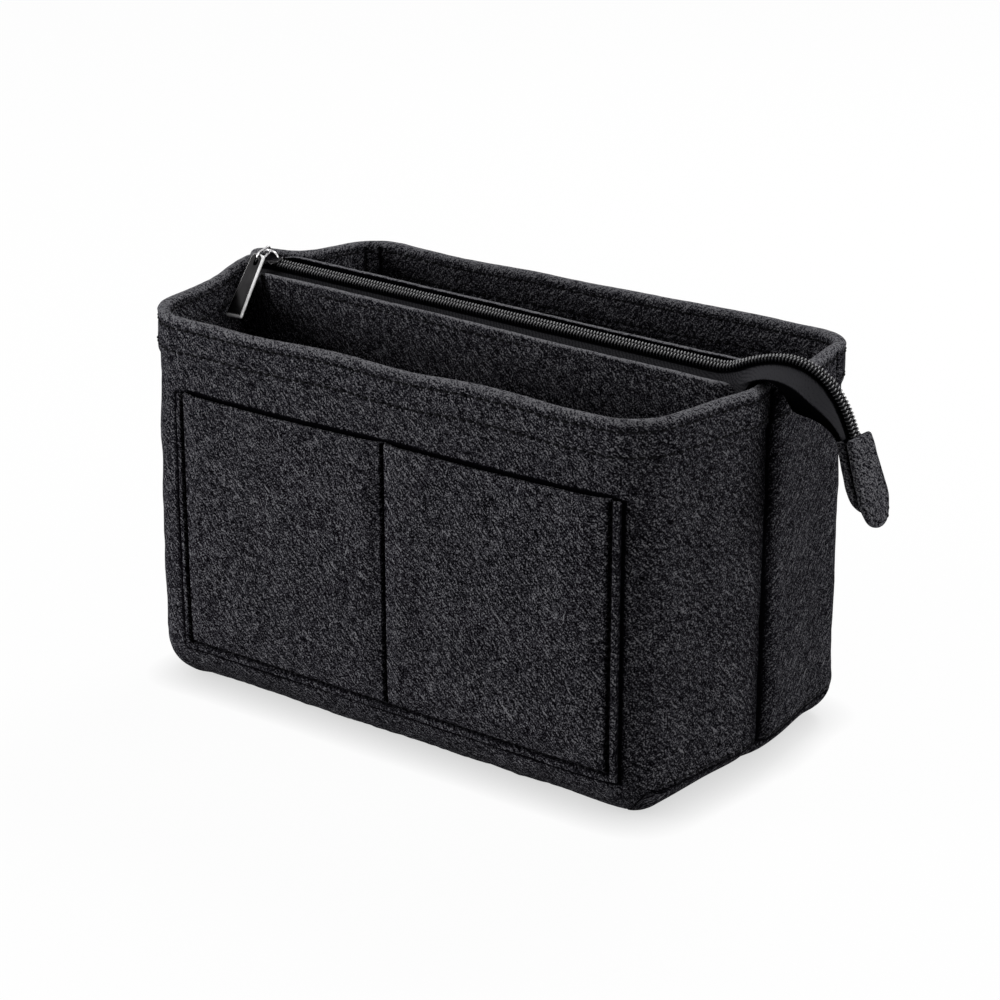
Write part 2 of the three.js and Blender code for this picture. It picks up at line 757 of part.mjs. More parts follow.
for (const [name, side] of [['left', -1], ['right', 1]]) {
  add(`base_thread_${name}`, endThread(side), finish.thread);
  add(`end_seam_thread_${name}`, seamThread(side), finish.thread);
}

// Threads of the pouch: along each zip edge, and along the closed foot
for (const [name, side] of [['front', -1], ['rear', 1]]) {
  const place = (x, up, out) => new THREE.Vector3(
    x,
    side * (pouchInner(x) + feltThickness + fitGap + out),
    pouchEdge(side, x) - pouchStitchDrop + up,
  );
  add(`zip_thread_${name}`, loft(pouchStations, threadOutline, place), finish.thread);
}

const footPlace = (x, up, out) => new THREE.Vector3(
  x,
  -(fitGap / 2 + feltThickness + fitGap + out),
  zipHeight(0) - pouchDepth + pouchStitchLift + up,
);
add('pouch_foot_thread', loft(pouchStations, threadOutline, footPlace), finish.thread);

// Tab thread: a closed row just inside the outer leaf's edge
function tabThread() {
  const ring = tabOutline(tabStitchInset);
  ring.closePath();
  const inner = new THREE.Path(tabOutline(tabStitchInset + threadSize).getPoints(8));
  ring.holes.push(inner);
  const settings = { depth: threadSize, bevelEnabled: false, curveSegments: 8 };
  const low = tabSplit / 2 + feltThickness + fitGap;
  return new THREE.ExtrudeGeometry(ring, settings).translate(0, 0, low);
}

add('tab_thread', tabThread(), finish.thread, tabPlace);

export default part;
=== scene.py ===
import math

import bpy
import numpy as np
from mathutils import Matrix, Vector


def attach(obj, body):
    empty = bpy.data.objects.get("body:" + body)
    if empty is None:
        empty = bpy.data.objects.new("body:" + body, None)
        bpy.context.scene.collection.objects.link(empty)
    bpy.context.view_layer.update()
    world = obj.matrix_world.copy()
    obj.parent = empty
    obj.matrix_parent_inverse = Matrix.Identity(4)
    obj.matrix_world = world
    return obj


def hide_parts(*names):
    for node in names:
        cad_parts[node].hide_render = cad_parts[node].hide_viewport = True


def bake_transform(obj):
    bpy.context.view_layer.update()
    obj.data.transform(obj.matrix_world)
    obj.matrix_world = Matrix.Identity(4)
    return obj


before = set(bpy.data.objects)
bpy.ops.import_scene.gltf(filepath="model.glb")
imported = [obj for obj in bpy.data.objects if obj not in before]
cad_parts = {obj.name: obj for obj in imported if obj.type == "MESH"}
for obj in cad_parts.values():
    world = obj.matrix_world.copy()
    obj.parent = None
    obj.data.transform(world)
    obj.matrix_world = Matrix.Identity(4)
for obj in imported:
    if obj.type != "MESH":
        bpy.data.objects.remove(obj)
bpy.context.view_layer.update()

# Felt purse organizer insert: sizes below are in millimetres, the meshes are in metres
mm = 0.001
fullTurn = 2 * math.pi
halves = (("front", -1), ("rear", 1))


# Small maths helpers

def smooth(low, high, value):
    # Cubic ease: 0 up to low, 1 from high on
    share = np.clip((value - low) / (high - low), 0, 1)
    return share * share * (3 - 2 * share)


def bell(value, width):
    # Gaussian hump, 1 in the middle
    return np.exp(-(value / width) ** 2)


def mix(first, second, share):
    return first + (second - first) * share


def unit(vectors):
    return vectors / np.linalg.norm(vectors, axis=-1, keepdims=True)


def ripple(across, along, size, seed):
    # Sum of sine waves in seeded directions, about one unit high, with crests roughly size apart
    dice = np.random.default_rng(seed)
    angle, phase = dice.uniform(0, fullTurn, (2, 9))
    reach = fullTurn / (size * dice.uniform(0.7, 1.4, 9))
    across, along = np.broadcast_arrays(across, along)
    waves = (across[..., None] * np.cos(angle) + along[..., None] * np.sin(angle)) * reach + phase
    return np.sin(waves).sum(-1) / 3


def bothWays(half):
    # A rising row of distances, mirrored to the other side of zero
    return np.concatenate([-half[:0:-1], half])


def power(value, exponent):
    # Power that keeps the sign: below 1 it squares off a circle
    return np.sign(value) * np.abs(value) ** exponent


def steps(count):
    # Even shares from 0 to 1 in one row
    return np.linspace(0, 1, count)[None]


def circle(count):
    # Even angles round a section in one row, half a step off the axes
    return (np.arange(count)[None] + 0.5) / count * fullTurn


def joined(*blocks):
    # Blocks one after another along the sections' outlines
    return np.concatenate(blocks, 1)


def travelled(line):
    # Distance along a line at each of its points
    return np.concatenate([[0], np.cumsum(np.linalg.norm(np.diff(line, axis=0), axis=1))])


def pointsAt(distance, line, travel):
    # Points of a flat line some distance along it
    return np.stack([np.interp(distance, travel, line[:, i]) for i in (0, 1)], 1)


# Mesh building: whole arrays of sections are joined by quads

def loftFaces(rows, count, ring):
    # Quads between neighbouring sections of a closed outline, with the corner numbers of their UV grid.
    # A cap at each end joins opposite points of the outline; a ring closes on itself instead
    row = np.arange(rows if ring else rows - 1)[:, None]
    k = np.arange(count)[None, :]
    after = (row + 1) % rows
    beside = (k + 1) % count
    around = [(row, k), (row, beside), (after, beside), (after, k)]
    faces = np.stack([r * count + c for r, c in around], -1).reshape(-1, 4)
    wide = count + 1
    flat = [(row, k), (row, k + 1), (row + 1, k + 1), (row + 1, k)]
    corners = np.stack([r * wide + c for r, c in flat], -1).reshape(-1, 4)
    if ring:
        return faces, corners
    j = np.arange(count // 2 - 1)
    cap = np.stack([j, j + 1, count - 2 - j, count - 1 - j], -1)
    faces = np.vstack([faces, cap[:, ::-1], cap + (rows - 1) * count])
    corners = np.vstack([corners, cap[:, ::-1], cap + (rows - 1) * wide])
    return faces, corners


def metricUv(points, ring, origin):
    # UV in metres: u is the mean distance along the sections, v the distance round each from column origin
    closed = joined(points, points[:, :1])
    if ring:
        closed = np.concatenate([closed, closed[:1]], 0)
    along = np.linalg.norm(np.diff(closed, axis=0), axis=2).mean(1)
    around = np.linalg.norm(np.diff(closed, axis=1), axis=2)
    u = np.concatenate([[0], np.cumsum(along)])[:, None]
    v = joined(np.zeros((len(closed), 1)), np.cumsum(around, 1))
    v = v - v[:, origin:origin + 1]
    return np.stack(np.broadcast_arrays(u, v), -1) * mm


def addMesh(name, points, faces, uv, sharp=40):
    # One mesh object from points in millimetres, quads and a UV pair per corner, turned to face outwards
    a, b, c, d = (points[faces[:, i]] for i in range(4))
    if ((np.cross(b, c) + np.cross(c, d)) * a).sum() < 0:
        faces, uv = faces[:, ::-1], uv[:, ::-1]
    mesh = bpy.data.meshes.new(name)
    mesh.vertices.add(len(points))
    mesh.vertices.foreach_set("co", (points * mm).astype(np.float32).ravel())
    mesh.loops.add(faces.size)
    mesh.loops.foreach_set("vertex_index", faces.astype(np.int32).ravel())
    mesh.polygons.add(len(faces))
    mesh.polygons.foreach_set("loop_start", np.arange(0, faces.size, 4, dtype=np.int32))
    mesh.uv_layers.new(name="cloth").data.foreach_set("uv", uv.astype(np.float32).ravel())
    mesh.update(calc_edges=True)
    mesh.polygons.foreach_set("use_smooth", np.ones(len(faces), bool))
    mesh.set_sharp_from_angle(angle=math.radians(sharp))
    piece = bpy.data.objects.new(name, mesh)
    bpy.context.scene.collection.objects.link(piece)
    return piece


def addLoft(name, points, ring=False, origin=0, sharp=40):
    # points has one section per row and one point of the closed outline per column
    rows, count = points.shape[:2]
    faces, corners = loftFaces(rows, count, ring)
    uv = metricUv(points, ring, origin).reshape(-1, 2)
    return addMesh(name, points.reshape(-1, 3), faces, uv[corners], sharp)


def addCopies(name, points):
    # points is copies x sections x outline: the same small capped loft many times in one mesh
    copies, rows, count = points.shape[:3]
    faces, corners = loftFaces(rows, count, False)
    uv = metricUv(points[0], False, 0).reshape(-1, 2)[corners]
    shift = (np.arange(copies) * rows * count)[:, None, None]
    faces = (faces[None] + shift).reshape(-1, 4)
    return addMesh(name, points.reshape(-1, 3), faces, np.tile(uv, (copies, 1, 1)))


def thicken(surface, thickness, tip=0.5):
    # A sheet given thickness along its normals: over the sheet and back beneath it, thinner at its edges
    over = np.gradient(surface, axis=1)
    along = np.gradient(surface, axis=0)
    normal = unit(np.cross(along, over))
    half = np.full(surface.shape[1], thickness / 2)
    half[[0, -1]] *= tip
    offset = normal * half[None, :, None]
    return joined(surface + offset, (surface - offset)[:, ::-1])


def sweep(path, side, radius, sides=8):
    # Round tube along a path: rings lie square to it, side is a direction that the path never runs along
    tangent = unit(np.gradient(path, axis=0))
    first = unit(side - (side * tangent).sum(-1, keepdims=True) * tangent)
    second = np.cross(tangent, first)
    turn = circle(sides).T
    return path[:, None] + (first[:, None] * np.cos(turn) + second[:, None] * np.sin(turn)) * radius


def mark(piece, name, values):
    # A number on each point, in the order of the sections
    column = piece.data.attributes.new(name, "FLOAT", "POINT")
    column.data.foreach_set("value", values.astype(np.float32).ravel())
    return piece


def place(piece, slot, body, *nodes, look=None):
    piece.data.materials.append(looks[look or slot])
    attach(piece, body)
    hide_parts(*nodes)


def placeFelt(name, made, node, body="organizer", **loft):
    # Felt piece from its sections and the painted shading of their points
    sections, paintedShading = made
    place(mark(addLoft(f"felt_{name}", sections, **loft), "paintedShading", paintedShading), "felt", body, node)


# Materials: shader maths written as expressions

class Flow:
    # A socket in a node tree; sums and products of flows add Math nodes
    def __init__(self, tree, socket):
        self.tree = tree
        self.socket = socket

    def node(self, kind, settings, inputs, output=0):
        made = self.tree.nodes.new(kind)
        stops = settings.pop("stops", [])
        for key, value in settings.items():
            setattr(made, key, value)
        for k, (position, color) in enumerate(stops):
            stop = made.color_ramp.elements[k] if k < 2 else made.color_ramp.elements.new(position)
            stop.position = position
            stop.color = color
        for key, value in inputs.items():
            if isinstance(value, Flow):
                self.tree.links.new(value.socket, made.inputs[key])
            else:
                made.inputs[key].default_value = value
        return Flow(self.tree, made.outputs[output])

    def math(self, operation, *values):
        return self.node("ShaderNodeMath", {"operation": operation}, dict(enumerate(values)))

    def __add__(self, other):
        return self.math("ADD", self, other)

    def __sub__(self, other):
        return self.math("SUBTRACT", self, other)

    def __rsub__(self, other):
        return self.math("SUBTRACT", other, self)

    def __mul__(self, other):
        return self.math("MULTIPLY", self, other)

    def larger(self, other):
        return self.math("MAXIMUM", self, other)

    def wave(self, length):
        # Sine with crests a length apart, between 0 and 1
        return self.math("SINE", self * (fullTurn / length)) * 0.5 + 0.5

    def ease(self, low, high):
        # 0 at low, 1 at high, eased
        settings = {"interpolation_type": "SMOOTHSTEP", "clamp": True}
        return self.node("ShaderNodeMapRange", settings, {0: self, 1: low, 2: high, 3: 0.0, 4: 1.0})

    def ramp(self, *stops):
        return self.node("ShaderNodeValToRGB", {"stops": list(stops)}, {0: self})

    def part(self, output):
        return self.node("ShaderNodeSeparateXYZ", {}, {0: self}, output)

    def marked(self, name):
        return self.node("ShaderNodeAttribute", {"attribute_name": name}, {}, "Fac")

    def choose(self, first, second):
        # Two colours mixed by this share
        return self.node("ShaderNodeMix", {"data_type": "RGBA"}, {0: self, 6: first, 7: second}, 2)

    def bump(self, strength, depth):
        return self.node("ShaderNodeBump", {}, {"Strength": strength, "Distance": depth, "Height": self})

    def noise(self, scale, detail=2.0, roughness=0.5):
        laid = {"Vector": self, "Scale": scale, "Detail": detail, "Roughness": roughness}
        return self.node("ShaderNodeTexNoise", {"noise_dimensions": "3D"}, laid)


def newLook(name, constants, cloth=True):
    # Principled material with its unchanging sockets set, and its pattern's coordinates: UV or place
    look = bpy.data.materials.new(name)
    look.use_nodes = True
    shader = look.node_tree.nodes["Principled BSDF"]
    for key, value in constants.items():
        shader.inputs[key].default_value = value
    flow = Flow(look.node_tree, None)
    if cloth:
        return look, shader, flow.node("ShaderNodeUVMap", {"uv_map": "cloth"}, {})
    return look, shader, flow.node("ShaderNodeTexCoord", {}, {}, "Object")


def connect(look, shader, **flows):
    for key, flow in flows.items():
        look.node_tree.links.new(flow.socket, shader.inputs[key.replace("_", " ")])
    return look


feltLook = dict(
    black=(0.0012, 0.0011, 0.0017, 1),
    dark=(0.0080, 0.0076, 0.0098, 1),
    ground=(0.0235, 0.0228, 0.0278, 1),
    fleck=(0.0640, 0.0630, 0.0715, 1),
    bright=(0.1700, 0.1690, 0.1800, 1),
    sheenTint=(0.75, 0.75, 0.8, 1), sheen=0.01, bump=0.5, bumpDepth=0.0005,
    lay=-0.92, width=1250.0, length=6.0, grain=1500.0, grainShare=0.60, cloud=60.0, cloudShare=0.05,
    contrast=1.16, paintedShading=0.07, level=-0.361,
)
# Turn from the lay, width and length as shares of the usual ones, and weight
feltFibres = ((0.0, 1.0, 1.0, 0.28), (0.42, 0.85, 0.7, 0.22), (-0.546, 1.0, 0.5, 0.18), (1.4, 0.8, 0.6, 0.14))
# The same for single hairs, and the noise level where they begin
feltHairs = ((0.15, 0.5, 1.3, 0.13, 0.66), (-0.9, 0.45, 1.0, 0.10, 0.68))


def strands(uv, turn, width, length):
    # Noise drawn out along one direction: crests are pale fibres, troughs the shadows between them
    turned = (0, 0, feltLook["lay"] + turn)
    laid = {"Vector": uv, "Rotation": turned, "Scale": (feltLook["length"] * length, 1, 1)}
    drawn = uv.node("ShaderNodeMapping", {"vector_type": "TEXTURE"}, laid)
    return drawn.noise(feltLook["width"] * width, 1.0)


def makeFelt():
    # Heathered felt: fibres that mostly lie one way, some crossing them, a fine grain and a few pale hairs.
    # The painted shading attribute is above 0 for painted highlights where a fold or rim catches the light
    # and below 0 for painted shade in creases, seams and recesses
    s = feltLook
    look, shader, uv = newLook("charcoalFelt", {
        "Roughness": 1.0, "Sheen Weight": s["sheen"], "Sheen Roughness": 0.5, "Specular IOR Level": 0.0,
        "Sheen Tint": s["sheenTint"],
    })
    paintedShading = uv.marked("paintedShading")
    heather = uv.noise(s["grain"], 1.0, 0.6) * s["grainShare"] + uv.noise(s["cloud"]) * s["cloudShare"]
    for turn, width, length, weight in feltFibres:
        heather = heather + strands(uv, turn, width, length) * weight
    for turn, width, length, weight, start in feltHairs:
        heather = heather + strands(uv, turn, width, length).ease(start, start + 0.12) * weight
    tone = heather * s["contrast"] + paintedShading * s["paintedShading"] + s["level"]
    plain = tone.ramp(
        (0.40, s["black"]), (0.455, s["dark"]), (0.51, s["ground"]), (0.57, s["fleck"]), (0.65, s["bright"]),
    )
    # Painted shade: where the painted shading is below 0 the colour is mixed towards black
    colour = (paintedShading * -1.0).larger(0.0).choose(plain, s["black"])
    return connect(look, shader, Base_Color=colour, Normal=tone.bump(s["bump"], s["bumpDepth"]))


# back is the colour of the painted shade on the tape's back, its turned-under skirt and under the coil
tapeLook = dict(
    dark=(0.0040, 0.0040, 0.0050, 1), light=(0.041, 0.0405, 0.045, 1), back=(0.0012, 0.0012, 0.0015, 1),
    ribs=0.0016, slant=0.9, uneven=420.0, unevenDepth=0.00153, grain=900.0, bump=0.5, bumpDepth=0.0002,
    ribShare=0.34, yarnShare=0.14, grainShare=0.63, stretch=0.45,
)


def makeTape():
    # Woven tape: fine diagonal ribs crossed by a yarn-sized noise. Its shade attribute is above 0 for painted
    # shade on its back, its turned-under skirt and under the coil, and below 0 along the tail, where it is
    # paler
    s = tapeLook
    look, shader, uv = newLook("wovenTape", {"Specular IOR Level": 0.0})
    across = uv.part(1) * s["slant"]
    rib = (uv.part(0) + across + uv.noise(s["uneven"], 1.0) * s["unevenDepth"]).wave(s["ribs"])
    yarn = (uv.part(0) - across).wave(s["ribs"])
    grain = uv.noise(s["grain"])
    tapeShadeAndPale = uv.marked("tapeShadeAndPale")
    weave = rib * s["ribShare"] + yarn * s["yarnShare"] + grain * s["grainShare"]
    pale = weave + (tapeShadeAndPale * -1.0).larger(0.0) * s["stretch"]
    colour = tapeShadeAndPale.larger(0.0).choose(pale.ramp((0.1, s["dark"]), (0.95, s["light"])), s["back"])
    bump = weave.bump(s["bump"], s["bumpDepth"])
    return connect(look, shader, Base_Color=colour, Roughness=grain * 0.25 + 0.62, Normal=bump)


# top is the painted highlight colour on the top of each turn
coilLook = dict(
    dark=(0.004, 0.004, 0.005, 1), light=(0.010, 0.010, 0.012, 1), top=(0.15, 0.148, 0.155, 1), grain=700.0,
)


def makeCoil():
    # Black nylon: slightly uneven semi-gloss; the painted shading attribute marks a painted highlight on the
    # top of each turn
    s = coilLook
    look, shader, spot = newLook("nylonCoil", {"Specular IOR Level": 0.3}, cloth=False)
    grain = spot.noise(s["grain"])
    colour = spot.marked("paintedShading").choose(grain.ramp((0.3, s["dark"]), (0.7, s["light"])), s["top"])
    return connect(look, shader, Base_Color=colour, Roughness=grain * 0.15 + 0.24)


platings = {
    "gunmetal": dict(
        name="darkPlating", metallic=1.0, tint=(0.22, 0.22, 0.23, 1), smear=130.0, smeared=0.12, gloss=0.12,
        brushed=0.07, dark=(0.030, 0.029, 0.030, 1), light=(0.046, 0.045, 0.046, 1),
    ),
    "bright_metal": dict(
        name="brightPlating", metallic=1.0, tint=(1, 1, 1, 1), smear=420.0, smeared=0.2, gloss=0.08,
        brushed=0.0, dark=(0.50, 0.49, 0.50, 1), light=(0.72, 0.71, 0.72, 1),
    ),
    # Pale half-metal: painted highlight for the pull's edge
    "edgeHighlight": dict(
        name="edgeHighlightPlating", metallic=0.45, tint=(1, 1, 1, 1), smear=420.0, smeared=0.1, gloss=0.34,
        brushed=0.0, dark=(0.80, 0.79, 0.79, 1), light=(0.95, 0.94, 0.94, 1),
    ),
}
brush = dict(drawn=(1.0, 0.06, 0.06), scale=3800.0)


def makePlating(s):
    # Plated metal, duller in patches; faint long brushing on the dark one. The pale half-metallic one is a
    # painted highlight along the pull's edge, standing in for its bright reflection
    constants = {"Metallic": s["metallic"], "Specular Tint": s["tint"]}
    look, shader, spot = newLook(s["name"], constants, cloth=False)
    smear = spot.noise(s["smear"])
    rough = smear * s["smeared"] + s["gloss"]
    if s["brushed"]:
        drawn = spot.node("ShaderNodeMapping", {}, {"Vector": spot, "Scale": brush["drawn"]})
        rough = rough + drawn.noise(brush["scale"]) * s["brushed"]
    colour = smear.ramp((0.3, s["dark"]), (0.7, s["light"]))
    return connect(look, shader, Base_Color=colour, Roughness=rough)


threadLook = dict(
    dark=(0.0016, 0.0016, 0.0020, 1), light=(0.0055, 0.0055, 0.0065, 1),
    ply=0.0005, slant=1.6, bump=0.4, bumpDepth=0.0001,
)


def makeThread():
    # Black twisted thread: slanting plies along its length
    s = threadLook
    look, shader, uv = newLook("sewingThread", {"Specular IOR Level": 0.04})
    ply = (uv.part(0) * s["slant"] + uv.part(1)).wave(s["ply"])
    colour = ply.ramp((0.0, s["dark"]), (1.0, s["light"]))
    bump = ply.bump(s["bump"], s["bumpDepth"])
    return connect(look, shader, Base_Color=colour, Roughness=ply * 0.2 + 0.55, Normal=bump)


looks = {"felt": makeFelt(), "tape": makeTape(), "coil": makeCoil(), "thread": makeThread()}
for slot, plating in platings.items():
    looks[slot] = makePlating(plating)
print("looks made:", len(looks))


# Felt body: distances run along the felt from the middle of the front or rear to the end seams

body = dict(
    length=268.0, depth=146.0, height=161.0, felt=2.6, corner=20.0, baseCorner=4.0, lean=8.0, bottom=20.0,
    seamDip=3.5, seamSpread={-1: 8.0, 1: 4.0}, crease=1.6, creaseSpread=1.3,
    hem=17.0, hemBulge=1.2, rimRise=7.0, rimRiseSpread=19.0, rimRisePlace=5.0, leftRise=1.7, rearRise=1.2,
    rearRisePlace=32.0, rearRiseSpread=30.0, settleFrom=-20.0, seamEase=25.0,
    endSeam=13.0, footDraw=6.5, baseMargin=2.5, footGap=0.06, gap=0.3, hemRow=0.8, cutEdge=0.5,
    rimWave=0.45, rimWaveSize=70.0, lump=0.22, lumpSize=27.0, nap=0.10, napSize=7.0,
)
slack = dict(
    spread=15.0, rimFrom=80.0, footEase=8.0,
    leftRim={-1: 1.6, 1: -1.8}, rightRim={-1: 0.6, 1: -0.4},
    leftFoot={-1: -0.8, 1: -0.5}, rightFoot={-1: 0.8, 1: -1.3},
    tuck={-1: 2.2, 1: 0.8}, tuckPlace=14.0, tuckHeight=18.0,
    leftHeel={-1: -1.9, 1: -1.0}, rightHeel={-1: -0.6, 1: -3.2},
    heelSpread=12.0, heelPlace=16.0, heelHeight=13.0,
    rightEnd={-1: 1.4, 1: -1.7}, endPlace=22.0, endSpread=18.0, endEase=12.0, endLow=10.0, endHeight=13.0,
)
tuck = dict(leftPlace=0.50, leftApart=7.3, rightPlace=1.08, rightApart=0.0, depth=1.5, width=0.9)
stitch = dict(
    pitch=3.9, length=2.5, radius=0.48, flat=0.65, bow=0.22, lift=0.32, lead=0.4,
    groove=0.50, pucker=0.2, width=1.0, rimDrop=4.5,
)
# Strength and width of the wall's painted shade lines
shade = dict(seam=0.8, seamWidth=1.5, valley=0.58, valleyWidth=0.9, footWidth=1.2, tuck=0.9)

felt = body["felt"]
gap = body["gap"]
lean = math.radians(body["lean"])
halfDepth = body["depth"] / 2
cornerTurn = math.pi / 2 - lean
cornerRun = body["corner"] * cornerTurn
endRun = (halfDepth - body["corner"] * (1 - math.sin(lean))) / math.cos(lean)
frontRun = body["length"] / 2 - body["corner"] * math.cos(lean) - endRun * math.sin(lean)
quarterRun = frontRun + cornerRun + endRun
bottomArc = body["bottom"] * math.pi / 2
skinHeight = bottomArc + body["height"] - body["bottom"]
endSeamSkin = bottomArc - body["bottom"] * math.asin(1 - body["endSeam"] / body["bottom"])
hemThickness = 2 * felt
hemInner = hemThickness - body["hemBulge"]
foldRadius = felt * 0.8


def skinAt(z):
    return z - body["bottom"] + bottomArc


def planOf(run, depth, drawn):
    # Plan some depth inside the skin: straight front, round corner, then an end that leans out to its seam,
    # less what is drawn in there.
    # The corner's radius shrinks with depth to the base's own; past that its middle moves in as well
    radius = np.maximum(body["corner"] - depth, body["baseCorner"])
    moved = np.maximum(depth - body["corner"] + body["baseCorner"], 0)
    middleX = frontRun - moved * (1 - math.sin(lean)) / math.cos(lean)
    middleY = body["corner"] + moved - halfDepth
    turn = np.clip((run - frontRun) / body["corner"], 0, cornerTurn)
    share = np.clip((run - frontRun - cornerRun) / endRun, 0, 1)
    x = np.minimum(run / frontRun, 1) * middleX + radius * np.sin(turn)
    y = middleY - radius * np.cos(turn)
    return mix(x, body["length"] / 2 - depth - drawn, share), y * (1 - share)


def profileOf(inward, height):
    # Height is measured along the skin: flat base below 0, a quarter round, then straight up
    turn = np.clip((bottomArc - height) / body["bottom"], 0, math.pi / 2)
    reach = body["bottom"] - inward
    inset = body["bottom"] - reach * np.cos(turn) + np.maximum(-height, 0)
    z = body["bottom"] - reach * np.sin(turn) + np.maximum(height - bottomArc, 0)
    return inset, z


def dipAt(face, run, height):
    # The end seam draws the felt in: a valley, wider on the front half, with a narrow crease at its foot
    fromSeam = quarterRun - np.abs(run)
    valley = body["seamDip"] * bell(fromSeam, body["seamSpread"][face])
    crease = body["crease"] * bell(fromSeam, body["creaseSpread"])
    return (valley + crease) * smooth(0, bottomArc, height)


def ofCorner(name, face, run):
    # The left or the right corner's own value
    return np.where(run < 0, slack["left" + name][face], slack["right" + name][face])


def slackAt(face, run, height):
    # How the felt has set: each corner is drawn in or pushed out by its own amount at the rim and at the foot
    fromCorner = np.abs(run) - frontRun - cornerRun / 2
    fromSeam = quarterRun - run
    high = smooth(slack["rimFrom"], skinHeight, height)
    corner = mix(ofCorner("Foot", face, run), ofCorner("Rim", face, run), high)
    corner = corner * bell(fromCorner, slack["spread"])
    tucked = slack["tuck"][face] * bell(height - slack["tuckPlace"], slack["tuckHeight"])
    tucked = tucked * smooth(frontRun + cornerRun, frontRun, np.abs(run))
    heel = ofCorner("Heel", face, run) * bell(fromCorner, slack["heelSpread"])
    heel = heel * bell(height - slack["heelPlace"], slack["heelHeight"])
    end = slack["rightEnd"][face] * bell(fromSeam - slack["endPlace"], slack["endSpread"])
    end = end * smooth(0, slack["endEase"], fromSeam) * bell(height - slack["endLow"], slack["endHeight"])
    low = (tucked + heel + end) * smooth(0, slack["footEase"], height)
    return corner * smooth(0, bottomArc, height) + low


def wallPoint(face, run, inward, height):
    # Point of the body: face -1 is the front half, 1 the rear half
    inset, z = profileOf(inward, height)
    drawn = body["footDraw"] * (1 - smooth(0, bottomArc, height))
    x, y = planOf(np.abs(run), inset + dipAt(face, run, height) + slackAt(face, run, height), drawn)
    return np.stack(np.broadcast_arrays(np.where(run < 0, -1, 1) * x, -face * y, z), -1)


def topAt(face, run):
    # The rim rises to the zip at the left seam and wanders a little, less so at the seams
    past = face * (quarterRun + run) - body["rimRisePlace"]
    rise = body["rimRise"] * bell(past, body["rimRiseSpread"])
    settledAt = -frontRun if face < 0 else body["settleFrom"]
    rise = rise + body["leftRise"] * smooth(settledAt, -frontRun - cornerRun, run)
    if face > 0:
        rise = rise + body["rearRise"] * bell(run - body["rearRisePlace"], body["rearRiseSpread"])
    free = smooth(0, body["seamEase"], quarterRun - np.abs(run))
    return skinHeight + rise + body["rimWave"] * ripple(run, 0.0, body["rimWaveSize"], 5 + face) * free


def wrapFoot(run):
    # Lower edge of a wrap: on the flat base at front and rear, up at the cross seam on the ends
    turned = smooth(frontRun + cornerRun * 0.2, frontRun + cornerRun * 0.7, np.abs(run))
    return endSeamSkin * turned


def stitchGroove(run, off):
    # Felt drawn in along a row of stitches, most at the needle holes between them
    pull = stitch["groove"] - stitch["pucker"] * np.cos(fullTurn * run / stitch["pitch"])
    return pull * bell(off, stitch["width"])


def rowHeights(face, run):
    top = topAt(face, run)
    return top - stitch["rimDrop"], top - body["hem"] + foldRadius + body["hemRow"]


def grooves(face, run, height):
    rimRow, hemRow = rowHeights(face, run)
    return stitchGroove(run, height - rimRow) + stitchGroove(run, height - hemRow)


def lumps(run, height, seed):
    fine = body["nap"] * ripple(run, height, body["napSize"], seed + 1)
    return body["lump"] * ripple(run, height, body["lumpSize"], seed) + fine


def hemTucks(face, run, height):
    # Upright tucks at the rear corners, in the hem alone: two at the left, one at the right
    if face < 0:
        return 0 * height
    spot = np.where(run < 0, tuck["leftPlace"], tuck["rightPlace"])
    apart = np.where(run < 0, tuck["leftApart"], tuck["rightApart"])
    off = np.abs(np.abs(run) - frontRun - cornerRun * spot) - apart / 2
    hemLow = topAt(face, run) - body["hem"]
    return tuck["depth"] * bell(off, tuck["width"]) * smooth(hemLow - 1.5, hemLow + 1, height)


def outerSkin(face, run, height):
    # How far inward the outer skin lies: hem bulge, stitch rows and the felt's own lumps
    hemLow = topAt(face, run) - body["hem"]
    bulge = body["hemBulge"] * smooth(hemLow - foldRadius, hemLow + foldRadius, height)
    pulled = grooves(face, run, height) + hemTucks(face, run, height)
    return -bulge + pulled - lumps(run, height, 20 + face)


def innerSkin(face, run, height):
    # The turned hem ends inside in a cut edge, below which the felt is single
    hemLow = topAt(face, run) - body["hem"]
    double = smooth(hemLow - body["cutEdge"], hemLow + body["cutEdge"], height)
    pulled = grooves(face, run, height) + hemTucks(face, run, height)
    return mix(felt, hemInner, double) - pulled * double - lumps(run, height, 20 + face)


pocket = dict(
    seamLine=105.2, shift=5.2, top=131.0, bottom=18.9, gap=1.6, flange=3.5, flangeStep=0.8,
    ease=9.0, pinch=0.22, groove=1.3, edge=0.9, mouth=0.5, mouthGap=0.2, mouthThin=0.72, mouthEase=24.0,
    shadowLeft=0.28, shadowRight=0.55, shadowBelow=0.5, shadowAbove=1.2,
    sag=0.7, sagSpread=38.0, stitchLift=0.10,
)
seamLine = pocket["seamLine"]
pocketHalf = seamLine + pocket["flange"]
pocketLow = skinAt(pocket["bottom"])
pocketHigh = skinAt(pocket["top"])
seamLow = pocketLow + pocket["flange"]


def pocketTop(run):
    # The flange stops a little short of the pockets' mouths, with a round end; the mouths sag a little
    out = np.abs(run - pocket["shift"]) - seamLine
    past = np.maximum(np.abs(out - pocket["flange"] / 2) - pocket["flange"] / 2 + pocket["edge"], 0)
    corner = pocket["edge"] - np.sqrt(np.clip(pocket["edge"] ** 2 - past ** 2, 0, None))
    sag = pocket["sag"] * bell(out + seamLine / 2, pocket["sagSpread"])
    return pocketHigh - sag - (pocket["flangeStep"] + corner) * smooth(-0.3, 0.5, out)


def paintedPocketShadow(run, height):
    # Painted shadow: 1 on the wall under the patch and just outside it, further out where the patch hangs
    # over
    shadow = np.where(run < pocket["shift"], pocket["shadowLeft"], pocket["shadowRight"])
    aside = (np.abs(run - pocket["shift"]) - pocketHalf) * shadow
    below = pocket["shadowBelow"] * (pocketLow - height)
    above = pocket["shadowAbove"] * (height - pocketTop(run))
    return smooth(1.3, 0.7, np.maximum(np.maximum(aside, below), above))


